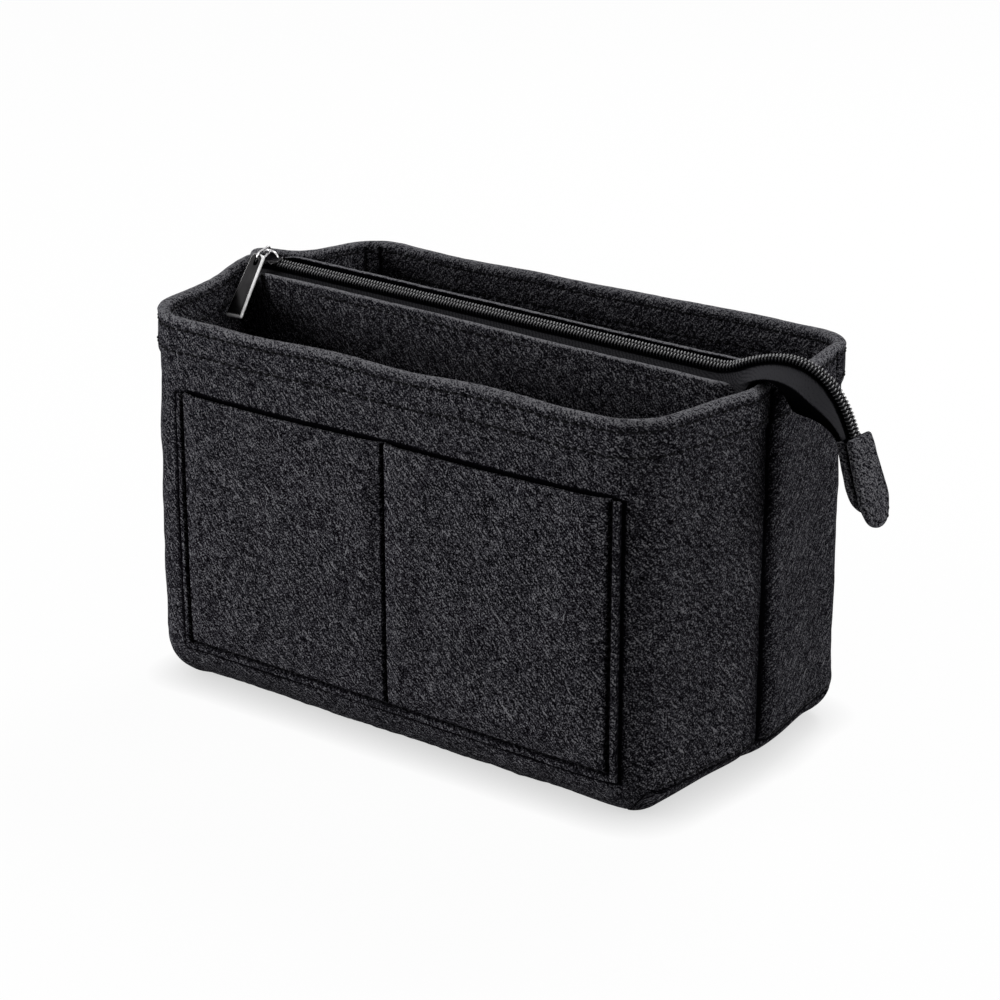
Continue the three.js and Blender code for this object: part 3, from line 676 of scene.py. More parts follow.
def wallShade(face, run, height):
    # Painted shade on the wall's skins: dark end seam and its valley, foot seam and hem tucks
    fromSeam = quarterRun - np.abs(run)
    valley = shade["valley"] * bell(fromSeam, shade["valleyWidth"] * body["seamSpread"][face])
    turned = smooth(frontRun, frontRun + cornerRun * 0.2, np.abs(run))
    foot = bell(height - wrapFoot(run), shade["footWidth"]) * turned
    tucked = shade["tuck"] * hemTucks(face, run, height) / tuck["depth"]
    return -np.clip(shade["seam"] * bell(fromSeam, shade["seamWidth"]) + valley + foot + tucked, 0, 1)


def wrapRuns(end):
    half = np.concatenate([
        np.arange(0, quarterRun - 9, 1.0),
        np.arange(quarterRun - 9, quarterRun - 1.2, 0.6),
        np.linspace(quarterRun - 1.2, quarterRun - end, 4),
    ])
    return bothWays(half)


def wrapSections(face):
    # Profile carried along the felt: up the outer skin, over the rolled rim, down inside
    run = wrapRuns(gap / 2)[:, None]
    top = topAt(face, run)
    rimRadius = hemThickness / 2
    low = mix(wrapFoot(run), pocketLow - 4, steps(12)[:, :-1])
    seat = np.arange(pocketLow - 4, pocketLow + 4, 0.6)[None] + 0 * run
    middle = mix(pocketLow + 4, pocketHigh - 4, steps(21)[:, :-1]) + 0 * run
    mouth = np.arange(pocketHigh - 4, pocketHigh + 2.5, 0.5)[None] + 0 * run
    high = mix(pocketHigh + 2.5, top - rimRadius, steps(38))
    height = joined(low, seat, middle, mouth, high)
    turn = math.pi * steps(13)[:, 1:-1]
    crown = rimRadius - body["hemBulge"] - rimRadius * np.cos(turn) - lumps(run, top, 20 + face)
    crownHeight = top - rimRadius * (1 - 0.9 * np.sin(turn))
    inward = joined(outerSkin(face, run, height), crown, innerSkin(face, run, height)[:, ::-1])
    # Painted shading: the wall's painted shade, a painted highlight up to the rolled rim and brightest on its
    # crown, the painted shadow of the pockets' patch, and on the inner skin the painted shade near the top
    # only
    shaded = wallShade(face, run, height)
    outside = shaded + 0.8 * smooth(top - rimRadius - 1.6, top - rimRadius, height)
    if face < 0:
        outside = np.minimum(outside, -paintedPocketShadow(run, height))
    inside = shaded * smooth(top - 20, top - 16, height)
    paintedShading = joined(outside, 0.8 + 0.9 * np.sin(turn) + 0 * run, inside[:, ::-1])
    return wallPoint(face, run, inward, joined(height, crownHeight, height[:, ::-1])), paintedShading


for name, face in halves:
    made = wrapSections(face)
    placeFelt(name, made, f"{name}_wrap", origin=made[0].shape[1] // 2)
print("felt walls made")


def baseSections():
    # Sheet from the front edge under the body to the rear edge; its ends turn up to the cross seams
    run = wrapRuns(0.0)[:, None]
    height = mix(wrapFoot(run) - body["footGap"], -body["baseMargin"], steps(18))
    across = steps(30)[:, 1:-1, None]
    layers = []
    for inward in (0.0, felt):
        front = wallPoint(-1, run, inward, height)
        rear = wallPoint(1, run, inward, height)
        floor = mix(front[:, -1:], rear[:, -1:], across)
        layers.append(joined(front, floor, rear[:, ::-1]))
    # Painted shade along the cross seam on the outer layer
    seam = -0.6 * smooth(1.7, 0.4, wrapFoot(run) - height)
    under = joined(seam, 0 * floor[..., 0], seam[:, ::-1])
    return joined(layers[0], layers[1][:, ::-1]), joined(under, 0 * under)


placeFelt("base", baseSections(), "base_panel")
print("base made")


# Front pockets: a patch sewn round three sides and down a dividing line

def pocketSkin(run, height):
    # Gap under the patch and its outer surface: held down at the seams, standing off between them
    fromDivide = np.abs(run - pocket["shift"])
    fromSide = seamLine - fromDivide
    inside = np.minimum(np.minimum(fromSide, height - seamLow), np.where(fromSide < 0, 1e3, fromDivide))
    opened = smooth(0, pocket["ease"], inside)
    edge = np.minimum(pocketHalf - fromDivide, height - pocketLow)
    full = smooth(0, pocket["groove"], np.minimum(np.abs(inside), edge + 0.6 * pocket["groove"]))
    mouth = smooth(pocketHigh - pocket["mouthEase"], pocketHigh, height) * opened
    rounding = np.sqrt(np.clip(1 - (1 - np.clip(edge / pocket["edge"], 0, 1)) ** 2, 0.06, 1))
    under = gap + pocket["gap"] * opened + pocket["mouthGap"] * mouth
    thick = felt * mix(pocket["pinch"], 1, full) * rounding * mix(1, pocket["mouthThin"], mouth)
    along = np.where(np.abs(fromSide) < np.abs(height - seamLow), height, run)
    holes = np.cos(fullTurn * along / stitch["pitch"]) * bell(inside, 0.9) * 0.14
    over = under + thick + holes + lumps(run, height, 40) * smooth(0, 6, np.abs(inside)) * 1.3
    # Painted shade in the seam grooves and along the patch's outer edge
    shaded = bell(inside, 0.85) + 0.8 * smooth(0.7, 0, edge)
    return under, over, -np.clip(shaded, 0, 1)


def pocketSections():
    # The patch, closer rows at its seams: up its face, over the mouth's round lip and down its back
    fine = np.arange(0, 2 * pocket["flange"], 0.35)
    coarse = np.arange(2 * pocket["flange"], pocketHalf - 14, 1.5)
    middle = np.concatenate([np.arange(0, 3, 0.35), np.arange(3, 13, 1.3)])
    half = np.unique(np.concatenate([middle, pocketHalf - np.concatenate([fine, coarse])]).round(3))
    run = pocket["shift"] + bothWays(half)[:, None]
    top = pocketTop(run)
    low = pocketLow + fine[None]
    rest = mix(low[:, -1:], top - pocket["mouth"], steps(62)[:, 1:])
    height = joined(low + 0 * run, rest)
    under, over, shaded = pocketSkin(run, height)
    turn = math.pi * steps(9)[:, 1:-1]
    lipUnder, lipOver = under[:, -1:], over[:, -1:]
    lip = (lipUnder + lipOver) / 2 + (lipOver - lipUnder) / 2 * np.cos(turn)
    lipHeight = top - pocket["mouth"] * (1 - np.sin(turn))
    heights = joined(height, lipHeight, height[:, ::-1])
    # Painted highlight rising to the mouth and on its lip, painted shade all over the patch's back
    pale = 0.25 * smooth(top - 3, top, height)
    paintedShading = joined(shaded + pale, 0.3 + 0 * lip, 0 * shaded - 0.9)
    return wallPoint(-1, run, joined(-over, -lip, -under[:, ::-1]), heights), paintedShading


placeFelt("pockets", pocketSections(), "front_pocket_panel")
print("pockets made")


# Zipped pouch: the zip line falls from the left end to the tail and is rolled to the front

pouch = dict(
    half=8.5, depth=132.0, taper=16.0, endDrop={-1: 2.6, 1: 1.5}, edgeRise={-1: 2.2, 1: 1.2}, seamDepth=9.0,
    fold=38.0, liftLeft=6.0, liftRight=1.5, roll=14.0, tailRootGap=14.0, wave=0.5, rowDrop=4.0, cut=0.5,
)
tape = dict(drop=2.3, thickness=0.7, skirt=7.5, top=1.5, inner=0.9)
roll = math.radians(pouch["roll"])
pouchEnd = body["length"] / 2 - body["seamDip"] - hemInner - 2 * gap
tailRoot = pouchEnd - pouch["tailRootGap"]
zipLeft = -pouchEnd
zipSlope = (pouch["liftRight"] - pouch["liftLeft"]) / (tailRoot - zipLeft)
coil = dict(
    half=2.8, height=2.4, pitch=1.5, lean={-1: -0.46, 1: -0.18}, wire=0.31, head=0.30, steps=14, cord=0.72,
    squareAcross=0.7, squareUp=0.5,
)
slider = dict(
    setback=3.0, length=10.4, half=4.1, plate=0.9, taper=0.10, square=0.55, squareAside=0.62,
    crownSpan=7.6, crownRise=3.0, crownWidth=1.0, crownThickness=0.8, crownSquare=0.6, crownSunk=0.08,
    linkWire=0.9, linkNear=1.35, linkFar=2.15, linkReach=5.0, linkOffset=1.0, linkAngle=22.0,
    pullAngle=54.0, pullLength=27.0, pullTopWidth=6.8, pullEndWidth=8.9, pullThickness=1.2,
    slotWidth=2.3, slotTop=1.3, slotFoot=3.0, topBar=0.8, bevel=0.22, endRound=1.0, topRound=2.3,
    pullRoll=0.9, rollLeft=0.25, rollFoot=1.3, rollPoints=180,
)


def zipHeight(x):
    return body["height"] + pouch["liftLeft"] + zipSlope * (x - zipLeft)


def pouchOpened(x):
    return smooth(0, pouch["taper"], pouchEnd - np.abs(x))


def pouchInner(x):
    return mix(0.8 + 3 * gap, pouch["half"] - felt / 2, pouchOpened(x))


def pouchEdge(side, x):
    drop = np.where(x < 0, pouch["endDrop"][-1], pouch["endDrop"][1]) * (1 - pouchOpened(x))
    risen = mix(pouch["edgeRise"][-1], pouch["edgeRise"][1], smooth(-pouchEnd, 60, x))
    return zipHeight(x) - tape["drop"] + risen - drop + side * pouch["half"] * math.sin(roll)


def pouchSections(side):
    # Wall of the pouch: a closed foot, a gore that opens, then an upright wall with a cut edge at the zip
    x = np.linspace(-pouchEnd, pouchEnd, 170)[:, None]
    inner = pouchInner(x)
    foot = zipHeight(0) - pouch["depth"]
    closed = foot + pouch["seamDepth"]
    edge = pouchEdge(side, x)
    z = joined(
        mix(foot, closed, steps(6)[:, :-1]) + 0 * x,
        mix(closed, closed + pouch["fold"], steps(14)[:, :-1]) + 0 * x,
        mix(closed + pouch["fold"], edge - 7, steps(30)[:, :-1]),
        mix(edge - 7, edge - pouch["cut"], steps(12)),
    )
    spread = smooth(closed, closed + pouch["fold"], z)
    waves = ripple(x, z, 90, 60 + side) + 0.35 * ripple(x, z, 24, 62)
    near = mix(gap / 2, inner, spread) + pouch["wave"] * waves * spread * pouchOpened(x)
    holes = stitchGroove(x, z - edge + pouch["rowDrop"]) * pouchOpened(x) * 0.8
    far = near + felt - holes - 0.1 * ripple(x, z, 7, 66 + side)
    rim = steps(7)[:, 1:-1]
    crown = mix(far[:, -1:], near[:, -1:], rim)
    crownZ = edge - pouch["cut"] * (2 * rim - 1) ** 4
    across = joined(far, crown, near[:, ::-1])
    heights = joined(z, crownZ, z[:, ::-1])
    # Painted highlight along the outer face's top edge, brightest on its crown; painted shade on the inner
    # face near the top
    pale = 1.2 * smooth(edge - 1.0, edge - 0.4, z)
    inside = -2.4 * smooth(edge - 7, edge - 3, z)
    paintedShading = joined(pale, 2.2 + 0 * crown, inside[:, ::-1])
    return np.stack([np.broadcast_to(x, across.shape), side * across, heights], -1), paintedShading


for name, side in halves:
    placeFelt(f"pouch_{name}", pouchSections(side), f"pouch_{name}_wall")
print("pouch walls made")


# Zip tail: from the pouch's right end over the rim, then down to the felt tab

tail = dict(
    reach=55.2, drop=17.0, riseAngle=28.0, fallAngle=72.0, riseHandle=28.0, fallHandle=31.0,
    wing=9.2, wingDrop=5.9, endWing=4.9, endDrop=2.5, turnShare=0.3, settle=9.0, tuck=1.5,
)
rise = math.radians(tail["riseAngle"])
fall = math.radians(tail["fallAngle"])
tailStart = np.array([tailRoot, zipHeight(tailRoot)])
tailEnd = tailStart + [tail["reach"], -tail["drop"]]
tailHandles = np.array([
    tailStart,
    tailStart + tail["riseHandle"] * np.array([math.cos(rise), math.sin(rise)]),
    tailEnd - tail["fallHandle"] * np.array([math.cos(fall), -math.sin(fall)]),
    tailEnd,
])


def tailLine(share):
    # Cubic Bezier curve in the plane of the zip
    t = share[:, None]
    weights = np.hstack([(1 - t) ** 3, 3 * t * (1 - t) ** 2, 3 * t ** 2 * (1 - t), t ** 3])
    return weights @ tailHandles


def settleRows(points, reach, step):
    # Running mean over the rows, with a raised-cosine window, so that the kink at the root becomes a bend
    half = int(round(reach / step))
    window = np.hanning(2 * half + 3)[1:-1]
    window /= window.sum()
    first = 2 * points[:1] - points[half:0:-1]
    last = 2 * points[-1:] - points[-2:-half - 2:-1]
    padded = np.concatenate([first, points, last], 0)
    return sum(w * padded[k:k + len(points)] for k, w in enumerate(window))


def chainLine(step):
    # Middle line of the whole chain at even steps, with its direction and roll
    straight = np.arange(zipLeft, tailRoot, 0.5)
    line = np.vstack([np.stack([straight, zipHeight(straight)], 1), tailLine(np.linspace(0, 1, 600))])
    travel = travelled(line)
    at = np.arange(gap, travel[-1], step)
    even = settleRows(pointsAt(at, line, travel), tail["settle"], step)
    along = unit(np.gradient(even, axis=0))
    zipLength = travel[len(straight)]
    past = (at - zipLength) / (travel[-1] - zipLength)
    return even, along, roll * (1 - smooth(0, tail["turnShare"], past)), past


def besideChain(line, along, turned, across, up):
    # Point beside the chain: across is along Y, up is square to the line, both rolled
    y = across * np.cos(turned) - up * np.sin(turned)
    lift = across * np.sin(turned) + up * np.cos(turned)
    return np.stack([line[:, :1] - along[:, 1:] * lift, y + 0 * lift, line[:, 1:] + along[:, :1] * lift], -1)


def tapeSections(side):
    # Half of the tape: from under the coil down a slope to a crease, then a skirt; the tail's wings are wider
    step = 1.0
    line, along, turned, past = chainLine(step)
    x = line[:, :1]
    past = past[:, None]
    spread = smooth(-0.08, 0.2, past)
    closing = smooth(0.65, 1, past)
    sewn = pouch["half"] - felt / 2 - gap
    narrow = mix(slider["half"] + 0.4, sewn, pouchOpened(np.minimum(x, 0)) ** 2)
    wing = mix(mix(narrow, tail["wing"], spread), tail["endWing"], closing)
    drop = mix(mix(tape["drop"] + 0.3, tail["wingDrop"], spread), tail["endDrop"], closing)
    onZip = smooth(0.9, 1, pouchOpened(np.minimum(x, 0))) * smooth(0, -0.1, past)
    onTail = 1.3 * smooth(0.32, 0.58, past) * (1 - 0.72 * closing)
    between = 0.6 * smooth(-0.2, -0.1, past) * smooth(0.2, 0.1, past)
    skirt = 0.4 + tape["skirt"] * np.maximum(np.maximum(onZip, onTail), between)
    slope = steps(14)
    fall = steps(12)[:, 1:]
    bow = 0.35 * np.sin(math.pi * slope) * spread * (1 - closing)
    acrossSlope = mix(tape["inner"], wing, slope)
    upSlope = -mix(tape["top"], drop, slope ** 1.15) + bow
    acrossSkirt = wing - 2.6 * fall * onTail
    upSkirt = -drop - skirt * fall
    across = side * joined(acrossSlope, acrossSkirt)
    up = joined(upSlope, upSkirt)
    surface = besideChain(line, along, turned[:, None], across, up)
    sections = thicken(settleRows(surface, 5.0, step), tape["thickness"])
    # Painted shadow under the coil's edge, painted shade on the tail's turned-under skirt and on the whole
    # back layer; paler along the tail
    shadow = smooth(0.9, 0.4, acrossSlope - coil["half"])
    stretched = -1.1 * smooth(0.05, 0.3, past)
    front = joined(mix(stretched, 1, shadow), smooth(0, 0.1, fall) * smooth(0.1, 0.22, past))
    layers = [front, 0 * front + 1][::side]
    return sections, joined(layers[0], layers[1][:, ::-1])


def coilSections(side):
    # Flattened helix beside the chain: leaning turns that reach between those of the other half.
    # The painted highlight is 1 on the top of each turn
    line, along, turned, _ = chainLine(coil["pitch"] / coil["steps"])
    phase = fullTurn * np.arange(len(line)) / coil["steps"] + (math.pi if side > 0 else 0)
    middle = (coil["half"] - coil["head"]) / 2
    flat, high = np.cos(phase), np.sin(phase)
    reach = (coil["half"] + coil["head"] - 2 * coil["wire"]) / 2
    across = side * (middle + reach * power(flat, coil["squareAcross"]))
    up = (coil["height"] / 2 - coil["wire"]) * power(high, coil["squareUp"])
    path = besideChain(line, along, turned[:, None], across[:, None], up[:, None])[:, 0]
    lead = np.stack([along[:, 0], 0 * along[:, 0], along[:, 1]], 1)
    path = path + lead * (coil["lean"][side] * across)[:, None]
    tube = sweep(path, lead, coil["wire"], 6)
    lifted = np.stack([-along[:, 1], -np.sin(turned), along[:, 0]], 1)
    facing = ((tube - path[:, None]) * lifted[:, None]).sum(-1) / coil["wire"]
    return tube, smooth(0.2, 0.8, high)[:, None] * smooth(0.35, 0.85, facing)


def cordSections(side):
    # Filler cord inside the coil
    line, along, turned, _ = chainLine(0.8)
    across = np.full((len(line), 1), side * coil["half"] / 2)
    path = besideChain(line, along, turned[:, None], across, 0 * across)[:, 0]
    return sweep(path, np.broadcast_to([0.0, 1.0, 0.0], path.shape), coil["cord"], 8)


rootStart = (tailRoot * mm, 0, zipHeight(tailRoot) * mm)
rootEnd = ((tailRoot + 13) * mm, 0, (zipHeight(tailRoot) + 4) * mm)


def placeOnChain(piece, slot, *nodes):
    # Tape and coil cross the tail's hinge: their transforms are baked and they are joined to no body
    piece.data.materials.append(looks[slot])
    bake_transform(piece)
    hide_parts(*nodes)


for name, side in halves:
    sections, tapeShadeAndPale = tapeSections(side)
    strip = mark(addLoft(f"tape_{name}", sections), "tapeShadeAndPale", tapeShadeAndPale)
    placeOnChain(strip, "tape", f"zip_tape_{name}", f"tail_tape_{name}")
    turns, paintedShading = coilSections(side)
    wound = mark(addLoft(f"coil_{name}", turns, sharp=80), "paintedShading", paintedShading)
    placeOnChain(wound, "coil", f"zip_coil_{name}", f"tail_coil_{name}")
    cord = addLoft(f"cord_{name}", cordSections(side))
    placeOnChain(cord, "thread", f"zip_coil_{name}", f"tail_coil_{name}")
print("zip made")


# Felt tab: two leaves over the end of the zip

tab = dict(
    length=33.5, topWidth=15.0, width=18.5, shoulder=20.0, split=0.6, round=1.1, curl=-0.4, top=1.0, felt=3.6,
    innerShort=6.0, paintedShading=0.85, aside=-1.0,
)
tabUp = np.array([-math.cos(fall), 0, math.sin(fall)])
tabOut = np.array([math.sin(fall), 0, math.cos(fall)])
tabRoot = np.array([tailEnd[0], 0, tailEnd[1]])


def tabHalfWidth(down, length):
    # Straight flare to the shoulder, then a tongue with a round end
    flare = mix(tab["topWidth"] / 2, tab["width"] / 2, np.clip(down / tab["shoulder"], 0, 1))
    shoulder = tab["shoulder"] - tab["length"] + length
    tongue = np.clip((down - shoulder) / (length - shoulder), 0, 1)
    return flare * np.sqrt(np.clip(1 - tongue ** 2.3, 0, 1))


def leafSections(side):
    # Rounded slab: each section is a flat superellipse. The leaves close on each other, with painted shade
    # where they face each other and a painted highlight over the rest
    tip = 1 - np.geomspace(0.06, 0.002, 14)
    share = np.concatenate([[0, 0.004, 0.012], np.linspace(0.025, 0.93, 46), tip])
    length = tab["length"] - (tab["innerShort"] if side < 0 else 0)
    down = (share * (length + tab["top"]) - tab["top"])[:, None]
    soft = np.sqrt(np.clip(1 - (1 - np.clip((down + tab["top"]) / tab["round"], 0, 1)) ** 2, 0.2, 1))
    turn = circle(40)
    wide = tabHalfWidth(down, length) * power(np.cos(turn), 0.5)
    thick = tab["felt"] / 2 * power(np.sin(turn), 0.45)
    foot = np.sqrt(np.clip(1 - share[:, None] ** 24, 0.05, 1))
    y = wide * mix(0.94, 1, soft)
    apart = tab["split"] / 2 + tab["felt"] / 2 - 0.5 * smooth(0.6, 1, share[:, None])
    out = side * apart + thick * soft * foot + 0.12 * ripple(y, down, 9, 80)
    bend = tab["curl"] * (down / tab["length"]) ** 2
    spot = tabRoot - tabUp * down[..., None] + tabOut * (out - bend)[..., None]
    paintedShading = mix(-1, tab["paintedShading"], smooth(-0.95, -0.55, side * np.sin(turn))) + 0 * down
    return spot + np.array([0, 1, 0]) * (y + tab["aside"])[..., None], paintedShading


for name, side in (("outer", 1), ("inner", -1)):
    placeFelt(f"tab_{name}", leafSections(side), f"tab_{name}_leaf", "tail", sharp=70)
print("tab made")


# Slider, link and pull

sliderMiddle = zipLeft + gap + slider["setback"] + slider["length"] / 2
plateLow = coil["height"] / 2 + gap
plateTop = plateLow + slider["plate"]
shoeTop = -coil["height"] / 2 - 3 * gap - 0.8 - tape["drop"] * 0.3


def sliderPlace(along, across, up):
    x = sliderMiddle + along
    y = across * math.cos(roll) - up * math.sin(roll)
    z = zipHeight(x) + across * math.sin(roll) + up * math.cos(roll)
    return np.stack(np.broadcast_arrays(x, y, z), -1)


def tapered(along):
    # Width of the slider as a share, narrower away from the nose where the chain parts
    return 1 - slider["taper"] * smooth(-slider["length"] / 2, slider["length"] / 2, along)


def plateOutline(count):
    # Plan of a slider plate: a rounded rectangle that tapers
    turn = circle(count)[0]
    along = power(np.cos(turn), slider["square"]) * slider["length"] / 2
    return along, power(np.sin(turn), slider["squareAside"]) * slider["half"] * tapered(along)


def slabSections(levels):
    # Levels are (shrink, height) pairs: the plan is drawn in by shrink at each height
    along, across = plateOutline(56)
    shrink, up = np.array(levels).T
    scale = 1 - shrink[:, None] / slider["half"]
    return sliderPlace(along[None] * scale, across[None] * scale, up[:, None] + 0 * along[None])


lip = dict(inset=0.42, curl=0.34, half=0.40, drop=0.55, reach=1.0)


def lipSections(side):
    # Side wall of the slider that folds down past the coil
    along = np.linspace(-0.86, 0.86, 24)[:, None] * slider["length"] / 2
    turn = circle(16)
    drawnIn = lip["inset"] + lip["curl"] * (2 * along / slider["length"]) ** 4
    across = side * (slider["half"] * tapered(along) - drawnIn + lip["half"] * np.cos(turn))
    return sliderPlace(along, across, plateLow - lip["drop"] + lip["reach"] * np.sin(turn))


def addSlider():
    # Two plates with bevelled edges and a lip down each side
    b = slider["bevel"]
    top = [(b, plateLow), (0, plateLow + b), (0, plateTop - 1.6 * b), (0.5 * b, plateTop - 0.6 * b)]
    top = top + [(1.6 * b, plateTop), (1.6, plateTop + 0.10), (3.0, plateTop + 0.16)]
    shoeLow = shoeTop - slider["plate"]
    shoe = [(1.0, shoeLow), (b, shoeLow + b), (0, shoeTop - 0.4), (b, shoeTop)]
    return [
        addLoft("slider_top", slabSections(top)),
        addLoft("slider_shoe", slabSections(shoe)),
        addLoft("slider_lip_front", lipSections(-1), sharp=80),
        addLoft("slider_lip_rear", lipSections(1), sharp=80),
    ]


for piece in addSlider():
    place(piece, "gunmetal", "slider", "slider_body")


def crownSections():
    # Arched strap: a rounded rectangle carried over a half ellipse
    turn = np.linspace(-slider["crownSunk"], math.pi + slider["crownSunk"], 40)[:, None]
    ring = circle(16)
    across = power(np.cos(ring), slider["crownSquare"]) * slider["crownWidth"] / 2
    out = power(np.sin(ring), slider["crownSquare"]) * slider["crownThickness"] / 2
    along = -np.cos(turn) * (slider["crownSpan"] / 2 + out)
    up = plateTop + gap + np.sin(turn) * (slider["crownRise"] + out)
    return sliderPlace(along, across, up)


place(addLoft("slider_crown_strap", crownSections(), sharp=80), "bright_metal", "slider", "slider_crown")


def leaning(degrees):
    # Directions away from and square to a piece that leans down to the front
    angle = math.radians(degrees)
    return np.array([0, -math.cos(angle), -math.sin(angle)]), np.array([0, -math.sin(angle), math.cos(angle)])


linkAway, linkOut = leaning(slider["linkAngle"])
linkPivot = sliderPlace(-slider["linkOffset"], 0.0, plateTop + gap + slider["crownRise"])
pullPivot = linkPivot + linkAway * (slider["linkReach"] + slider["linkFar"])


def linkSections():
    # Pear-shaped ring: a small arc round the crown, a larger one at the pull, straight sides between
    far = np.linspace(-math.pi / 2, math.pi / 2, 24)
    near = np.linspace(math.pi / 2, 3 * math.pi / 2, 20)
    turn = np.concatenate([far, near])
    reach = np.concatenate([np.full(24, slider["linkReach"]), np.zeros(20)])
    radius = np.concatenate([np.full(24, slider["linkFar"]), np.full(20, slider["linkNear"])])
    ring = np.arange(12)[None] / 12 * fullTurn
    out = radius[:, None] + np.cos(ring) * slider["linkWire"] / 2
    points = linkPivot + linkAway * (reach[:, None] + np.cos(turn)[:, None] * out)[..., None]
    points = points + linkOut * (np.sin(turn)[:, None] * out)[..., None]
    return points + np.array([1, 0, 0]) * (np.sin(ring) * slider["linkWire"] / 2 + 0 * out)[..., None]


place(addLoft("pull_link_ring", linkSections(), ring=True, sharp=80), "bright_metal", "link", "pull_link")


def evenOutline(corners, radius, count):
    # Closed outline through corner points with rounded corners, at even steps: quadratic arcs at each corner
    corners = np.array(corners, float)
    before, after = np.roll(corners, 1, 0), np.roll(corners, -1, 0)
    r = np.array(radius)[:, None]
    enter = corners + unit(before - corners) * r
    leave = corners + unit(after - corners) * r
    t = np.linspace(0, 1, 12)[None, :, None]
    arcs = (1 - t) ** 2 * enter[:, None] + 2 * t * (1 - t) * corners[:, None] + t ** 2 * leave[:, None]
    line = arcs.reshape(-1, 2)
    line = np.vstack([line, line[:1]])
    travel = travelled(line)
    return pointsAt(np.linspace(0, travel[-1], count, endpoint=False), line, travel)


def shrunk(outline, inset):
    # Outline moved inwards along its normals
    ahead = np.roll(outline, -1, 0) - np.roll(outline, 1, 0)
    return outline + unit(np.stack([-ahead[:, 1], ahead[:, 0]], 1)) * inset


def pullPlace(rows):
    # Rows of (outline, level) on the leaning pull, as sections round its edge
    away, out = leaning(slider["pullAngle"])
    aside = np.array([1, 0, 0])
    points = [pullPivot + aside * flat[:, :1] - away * flat[:, 1:] + out * level for flat, level in rows]
    return np.stack(points, 1)


def pullOutlines():
    # The pull's edge and its slot, with the slot's points facing those of the edge
    s = slider
    foot, top = -s["pullLength"], s["topBar"] + s["slotTop"]
    endHalf, topHalf = s["pullEndWidth"] / 2, s["pullTopWidth"] / 2
    slotHalf, slotFoot = s["slotWidth"] / 2, -s["slotFoot"]
    ends = [(-endHalf, foot), (endHalf, foot), (topHalf, top), (-topHalf, top)]
    sides = [(-slotHalf, slotFoot), (slotHalf, slotFoot), (slotHalf, s["slotTop"]), (-slotHalf, s["slotTop"])]
    outer = evenOutline(ends, [s["endRound"]] * 2 + [s["topRound"]] * 2, s["rollPoints"])
    hole = evenOutline(sides, [s["endRound"]] * 4, s["rollPoints"])
    middle = np.array([0, (s["slotTop"] - s["slotFoot"]) / 2])
    aim = np.arctan2(*(outer - middle).T[::-1])
    holeAim = np.arctan2(*(hole - middle).T[::-1])
    order = np.argsort(holeAim)
    slot = np.stack([np.interp(aim, holeAim[order], hole[order, i], period=fullTurn) for i in (0, 1)], 1)
    return outer, slot, slot + unit(slot - middle) * s["bevel"]


def addPull():
    # A plate with a slot, and round it an edge that rolls over gently at the face, widest at the foot
    outer, slot, wide = pullOutlines()
    b, half = slider["bevel"], slider["pullThickness"] / 2
    foot = smooth(1.5 - slider["pullLength"], 0.4 - slider["pullLength"], outer[:, 1:])
    width = mix(slider["rollLeft"], slider["pullRoll"], smooth(0.5, 2.5, outer[:, :1]))
    width = mix(width, slider["rollFoot"], foot)
    inner = shrunk(outer, width)
    plate = [
        (slot, -half + b), (slot, half - b), (wide, half), (inner, half), (inner, -half), (wide, -half),
    ]
    turn = np.linspace(0, math.pi / 2, 7)
    edge = [(shrunk(outer, width * (1 - math.sin(t))), half * (0.45 + 0.55 * math.cos(t))) for t in turn]
    edge = edge + [(flat, -level) for flat, level in edge[::-1]]
    place(addLoft("pull_plate", pullPlace(plate), ring=True, sharp=25), "gunmetal", "pull", "pull_tab")
    # The edge takes the pale half-metallic plating, a painted highlight standing in for the reflection along
    # the pull's edge
    rolled = addLoft("pull_edge", pullPlace(edge), ring=True, sharp=60)
    place(rolled, "bright_metal", "pull", "pull_tab", look="edgeHighlight")


addPull()
print("slider and pull made")


# Stitches: short bowed capsules, sunk at both ends

def stitchCopies(middle, ahead, out, size=1.0):
    # Six-sided tubes that taper and dip to both ends, one at each middle
    share = np.array([-1, -0.86, -0.45, 0, 0.45, 0.86, 1])[None, :, None, None]
    girth = np.array([0.35, 0.8, 1, 1.05, 1, 0.8, 0.35])[None, :, None, None]
    turn = circle(6)[:, None, :, None]
    ahead, out = unit(ahead)[:, None, None], unit(out)[:, None, None]
    axis = ahead * share * stitch["length"] / 2 - out * stitch["bow"] * share ** 2
    ring = out * np.cos(turn) * stitch["flat"] + np.cross(ahead, out) * np.sin(turn)
    return middle[:, None, None] + (axis + ring * stitch["radius"] * girth) * size


def sew(name, copies, node, body="organizer"):
    place(addCopies(f"stitches_{name}", copies), "thread", body, node)


def wallStitches(face, run, height, skin):
    # Stitches on the body's skin: skin is 1 outside or -1 inside, and how far inward the surface lies there
    sign, depth = skin
    inward = depth(face, run, height) - sign * stitch["lift"]
    middle = wallPoint(face, run, inward, height)
    ahead = wallPoint(face, run + stitch["lead"], inward, height) - middle
    inner = wallPoint(face, run, inward + 1.0, height)
    return stitchCopies(middle, ahead, sign * (middle - inner))


def evenRun(low, high):
    # Stitch middles on the pitch that the felt's needle holes follow
    first = math.ceil(low / stitch["pitch"])
    last = math.floor(high / stitch["pitch"])
    return np.arange(first, last + 1) * stitch["pitch"]


def edgeStitches(face, which):
    # Row along the rim or the hem, on both faces of the felt
    run = evenRun(-quarterRun + 2.5, quarterRun - 2.5)
    height = rowHeights(face, run)[which]
    skins = ((1, outerSkin), (-1, innerSkin))
    return np.concatenate([wallStitches(face, run, height, skin) for skin in skins])


for name, face in halves:
    for which, row in enumerate(("rim", "hem")):
        sew(f"{row}_{name}", edgeStitches(face, which), f"{row}_thread_{name}")


